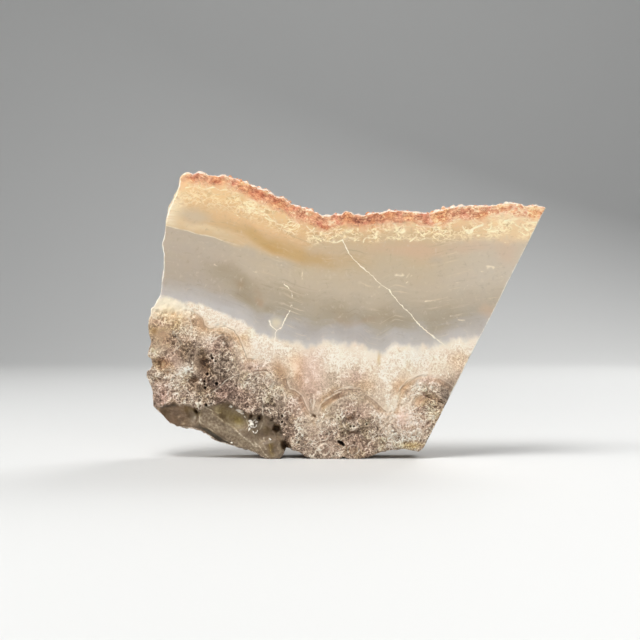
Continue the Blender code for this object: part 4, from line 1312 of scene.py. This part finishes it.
rust = (
    rust.tinted((255, 244, 226), place.noise(3.0, 2, seed=63).smooth(0.46, 0.60))
    .tinted((248, 228, 232), place.noise(2.6, 2, seed=64).smooth(0.50, 0.62))
)
wash = into_rust.smooth(-2.2, 0.2) * place.noise(1.6, 3, seed=53).smooth(0.36, 0.60)
stone_colour = (
    stone_colour.painted((236, 188, 148), wash * 0.6)
    .painted(rust.tinted((226, 208, 192), crust_top * 0.8), rust_share)
)
# Painted highlight: pale spots on the crust's knobs and a thin pale rim along its edge, where the
# rough crust catches the light.
knob_highlight = place.noise(1.1, 2, seed=36) + edge_gap.smooth(1.0, 0.1) * 0.24
knob_highlight = crust_top * knob_highlight.smooth(0.54, 0.70)
rim_highlight = (below_crust + place.swing(1.1, 0.9, 2, seed=37)).smooth(0.36, 0.10)
rim_highlight = rim_highlight * (1 - crust_top)
rim_and_knob_highlight = (rim_highlight * 0.9).math("MAXIMUM", knob_highlight * 0.7)
stone_colour = stone_colour.painted((252, 240, 222), rim_and_knob_highlight)

# Painted highlight: sharp edges are painted pale where they catch the light, but not where the
# corner broke off.
edge_highlight = (edge_gap + place.swing(0.5, 1.0, 2, seed=38)).smooth(0.26, 0.05)
edge_highlight = edge_highlight * (1 - broken_share) * in_shell.smooth(3.0, 0.5)
edge_highlight = edge_highlight * (1 - below_crust.smooth(1.5, 0.5))
stone_colour = stone_colour.painted((252, 246, 234), edge_highlight * 0.8)

# Painted shade: hollows are darkened, because little light comes back out of them, and pinholes
# are painted nearly black for the same reason; the black slots share their tint.
leftward = east.smooth(-33, -36)
stone_colour = stone_colour.tinted((176, 152, 120), hollow_share * (0.75 - leftward * 0.4))
ragged = pins + place.swing(0.25, 0.4, 2, seed=55)
stone_colour = stone_colour.tinted((60, 44, 34), ragged.smooth(0.05, -0.10) * 0.95)

dull = sinter_share.math("MAXIMUM", rust_share)
chalk = dull * (1 - broken_share * 0.8)
roughness = 0.30 + streaks * 0.12 + chalk * 0.40
height = speckle * 0.6 + mottle + lace * 0.35 + fine_lace * 0.2 - gaps * 0.4
height = height * surface("chalky")
bump = Field.of("ShaderNodeBump", {}, {"Strength": 1.0, "Distance": 0.0002, "Height": height})

opal_shader = Field.of(
    "ShaderNodeBsdfPrincipled", {},
    {
        "Base Color": stone_colour, "Roughness": roughness, "Normal": bump, "IOR": 1.45,
        "Subsurface Weight": 0.30, "Subsurface Radius": (1.0, 0.7, 0.45),
        "Subsurface Scale": 0.0015,
    },
)
sinter_shader = Field.of(
    "ShaderNodeBsdfPrincipled", {},
    {"Base Color": stone_colour, "Roughness": roughness, "Normal": bump, "IOR": 1.45},
)
mixed = Field.of("ShaderNodeMixShader", {}, {0: dull, 1: opal_shader, 2: sinter_shader})
Field.of("ShaderNodeOutputMaterial", {}, {"Surface": mixed})

stone_mesh.materials.append(stone_look)
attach(stone, "root")
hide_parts("slice")


# ---------------------------------------------------------------------------------------------
# The glints in the hollow
# Small clear crystals and splinters of opal stand on the floor of the hollow above the blade.
# Each is a six-sided prism with a pointed end, sunk a little way into the stone.

# A crystal: x, z, half width, length, turn in the face's plane, lean out of it, in degrees, and
# how far its ends are cut aslant.
splinters = np.array([
    (-21.35, 9.5, 0.42, 1.2, -36, 42, 1.2), (-20.9, 9.1, 0.30, 0.8, -44, 38, 0.8),
    (-23.1, 10.4, 0.26, 0.7, -20, 30, 0.5), (-20.3, 8.3, 0.14, 0.5, -60, 30, 0.5),
    (-19.15, 7.45, 0.30, 0.7, -30, 34, 0.6), (-18.9, 7.0, 0.38, 0.8, -66, 30, 0.4),
    (-19.25, 6.75, 0.18, 0.5, 20, 30, -0.4), (-19.0, 6.4, 0.16, 0.4, -80, 34, 0.6),
    (-18.1, 7.3, 0.13, 0.5, -120, 24, 0.6), (-18.0, 6.55, 0.12, 0.5, -96, 22, -0.4),
    (-19.35, 5.95, 0.20, 0.5, -130, 30, 0.4), (-18.55, 5.35, 0.12, 0.45, -60, 26, 0.3),
    (-18.1, 5.15, 0.16, 0.5, -160, 30, 0.5), (-17.8, 5.5, 0.10, 0.4, -100, 24, 0.2),
    (-22.9, 3.2, 0.13, 0.45, -20, 30, 0.3), (-15.2, 3.9, 0.15, 0.5, -40, 20, 0.3),
])
# Seven more, each number of theirs drawn at random between two limits.
chips = np.random.default_rng(7).uniform(
    (-19.9, 4.4, 0.08, 0.3, -150, 10, -1), (-17.4, 8.0, 0.16, 0.6, -30, 40, 1), (7, 7)
)
splinters = np.concatenate([splinters, chips])
at_x, at_z, half_width, length, turn, lean, slant = splinters.T
turn, lean = np.radians(turn), np.radians(lean)
seat = front_relief(at_x, at_z)[0]
axis = np.stack([np.cos(turn) * np.cos(lean), -np.sin(lean), np.sin(turn) * np.cos(lean)], axis=-1)
side = np.stack([-np.sin(turn), np.zeros_like(turn), np.cos(turn)], axis=-1)
over = np.cross(axis, side)
# Along a crystal its width swells, holds and runs to a point; around it there are six corners.
reach = np.array([-0.5, -0.5, 0.44, 0.5])
width = np.array([0.02, 1.0, 0.85, 0.02])
around = np.radians(np.arange(6) * 60)
ring_side = width[:, None] * np.cos(around)
ring_over = width[:, None] * np.sin(around) * 0.7
raised = 0.8 * half_width + 0.36 * length * np.sin(lean)
middle = np.stack([at_x, seat - thickness / 2 - raised, at_z], axis=-1)
lengthwise = reach[None, :, None] * length[:, None, None]
lengthwise = lengthwise + ring_side * (slant * half_width)[:, None, None]
crystal_points = (
    middle[:, None, None]
    + lengthwise[..., None] * axis[:, None, None]
    + (ring_side * half_width[:, None, None])[..., None] * side[:, None, None]
    + (ring_over * half_width[:, None, None])[..., None] * over[:, None, None]
)
proud = np.minimum(crystal_points[..., 1].min(axis=(1, 2)) + thickness / 2 - 0.05, 0)
crystal_points[..., 1] -= proud[:, None, None]
spot = np.arange(crystal_points[..., 0].size).reshape(crystal_points.shape[:-1])
nextly = np.roll(spot, -1, axis=2)
walls_of = np.stack([spot[:, :-1], nextly[:, :-1], nextly[:, 1:], spot[:, 1:]], -1).reshape(-1, 4)
ends_of = np.concatenate([spot[:, 0, ::-1], spot[:, -1]])
crystal_mesh = bpy.data.meshes.new("hollow_crystals")
crystal_mesh.from_pydata(
    (crystal_points.reshape(-1, 3) / 1000).tolist(), [], walls_of.tolist() + ends_of.tolist()
)
crystal_mesh.validate()
crystals = bpy.data.objects.new("hollow_crystals", crystal_mesh)
bpy.context.scene.collection.objects.link(crystals)

crystal_look = bpy.data.materials.new("clear_splinters")
crystal_look.use_nodes = True
crystal_look.node_tree.nodes.clear()
Field.tree = crystal_look.node_tree
place = Field.of("ShaderNodeTexCoord", out="Object").scaled((1000, 1000, 1000))
cloudy = place.noise(0.6, 3, 0.6, seed=50)
shine = cloudy.ramp(
    (0.3, 240, 226, 204), (0.5, 252, 243, 228), (0.7, 255, 253, 244)
)
crystal_shader = Field.of(
    "ShaderNodeBsdfPrincipled", {},
    {
        "Base Color": shine, "Roughness": 0.12 + cloudy * 0.2, "IOR": 1.5,
        "Subsurface Weight": 0.2, "Subsurface Radius": (1.0, 0.9, 0.8),
        "Subsurface Scale": 0.0004,
    },
)
Field.of("ShaderNodeOutputMaterial", {}, {"Surface": crystal_shader})
crystal_mesh.materials.append(crystal_look)
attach(crystals, "root")


# ---------------------------------------------------------------------------------------------
# The studio
# A pale floor that curves up into a backdrop, a broad soft light above and in front, a softer
# one from the left, and an even glow all round.

# From its front end the floor runs level to where the bend starts, and then up to its top.
front_end, bend_start, bend, top_end, half_wide = -1.2, 0.55, 0.35, 1.6, 1.8
turn = np.linspace(0.1, math.pi / 2, 15)
curve = np.stack([bend_start + bend * np.sin(turn), bend - bend * np.cos(turn)], axis=-1)
run = np.concatenate([
    [(front_end, 0.0), (bend_start, 0.0)], curve, [(bend_start + bend, top_end)],
])
across = np.array([-half_wide, half_wide])
sweep = np.stack([
    np.repeat(across, len(run)), np.tile(run[:, 0], 2), np.tile(run[:, 1], 2)
], axis=-1)
step = np.arange(len(run) - 1)
strips = np.stack([step, step + len(run), step + len(run) + 1, step + 1], axis=-1)
floor_mesh = bpy.data.meshes.new("studio_floor")
floor_mesh.from_pydata(sweep.tolist(), [], strips.tolist())
floor_mesh.polygons.foreach_set("use_smooth", np.ones(len(floor_mesh.polygons), bool))
floor = bpy.data.objects.new("studio_floor", floor_mesh)
bpy.context.scene.collection.objects.link(floor)
floor_look = bpy.data.materials.new("pale_floor")
floor_look.use_nodes = True
floor_shader = floor_look.node_tree.nodes["Principled BSDF"]
floor_shader.inputs["Base Color"].default_value = tone(214, 214, 212)
floor_shader.inputs["Roughness"].default_value = 0.7
floor_mesh.materials.append(floor_look)


def lamp(name, spot, size, watts, target=(0, 0, 0.028)):
    """A square soft light at a spot, in metres, turned towards a target."""
    light = bpy.data.lights.new(name, "AREA")
    light.size = size
    light.energy = watts
    holder = bpy.data.objects.new(name, light)
    holder.location = spot
    holder.rotation_euler = (Vector(target) - Vector(spot)).to_track_quat("-Z", "Y").to_euler()
    bpy.context.scene.collection.objects.link(holder)


lamp("top_light", (-0.14, -0.22, 0.55), 0.30, 3.3)
lamp("front_light", (0.15, -0.62, 0.30), 0.45, 0.68)
lamp("left_light", (-0.50, -0.15, 0.22), 0.30, 0.7)
lamp("back_light", (0.28, 0.48, 0.46), 0.35, 2.6)

world = bpy.data.worlds.new("studio_glow")
world.use_nodes = True
glow = world.node_tree.nodes["Background"]
glow.inputs["Color"].default_value = (0.92, 0.95, 1.0, 1.0)
glow.inputs["Strength"].default_value = 0.16
bpy.context.scene.world = world
bpy.context.scene.view_settings.view_transform = "Standard"

# Level with the middle of the slice and square to its front face, from where 80 mm of the face
# fill 400 of the picture's 640 pixels.
camera = bpy.data.cameras.new("camera")
camera.lens = 73.0
camera.sensor_width = 36.0
camera.clip_start = 0.01
picture_pixels, face_pixels, face_width = 640, 400, 0.08
distance = face_width * (camera.lens / camera.sensor_width * picture_pixels) / face_pixels
camera_holder = bpy.data.objects.new("camera", camera)
aim_x, aim_z = -0.0052, 0.0278
camera_holder.location = (aim_x, -thickness / 2000 - distance, aim_z)
camera_holder.rotation_euler = (math.pi / 2, 0, 0)
bpy.context.scene.collection.objects.link(camera_holder)
bpy.context.scene.camera = camera_holder
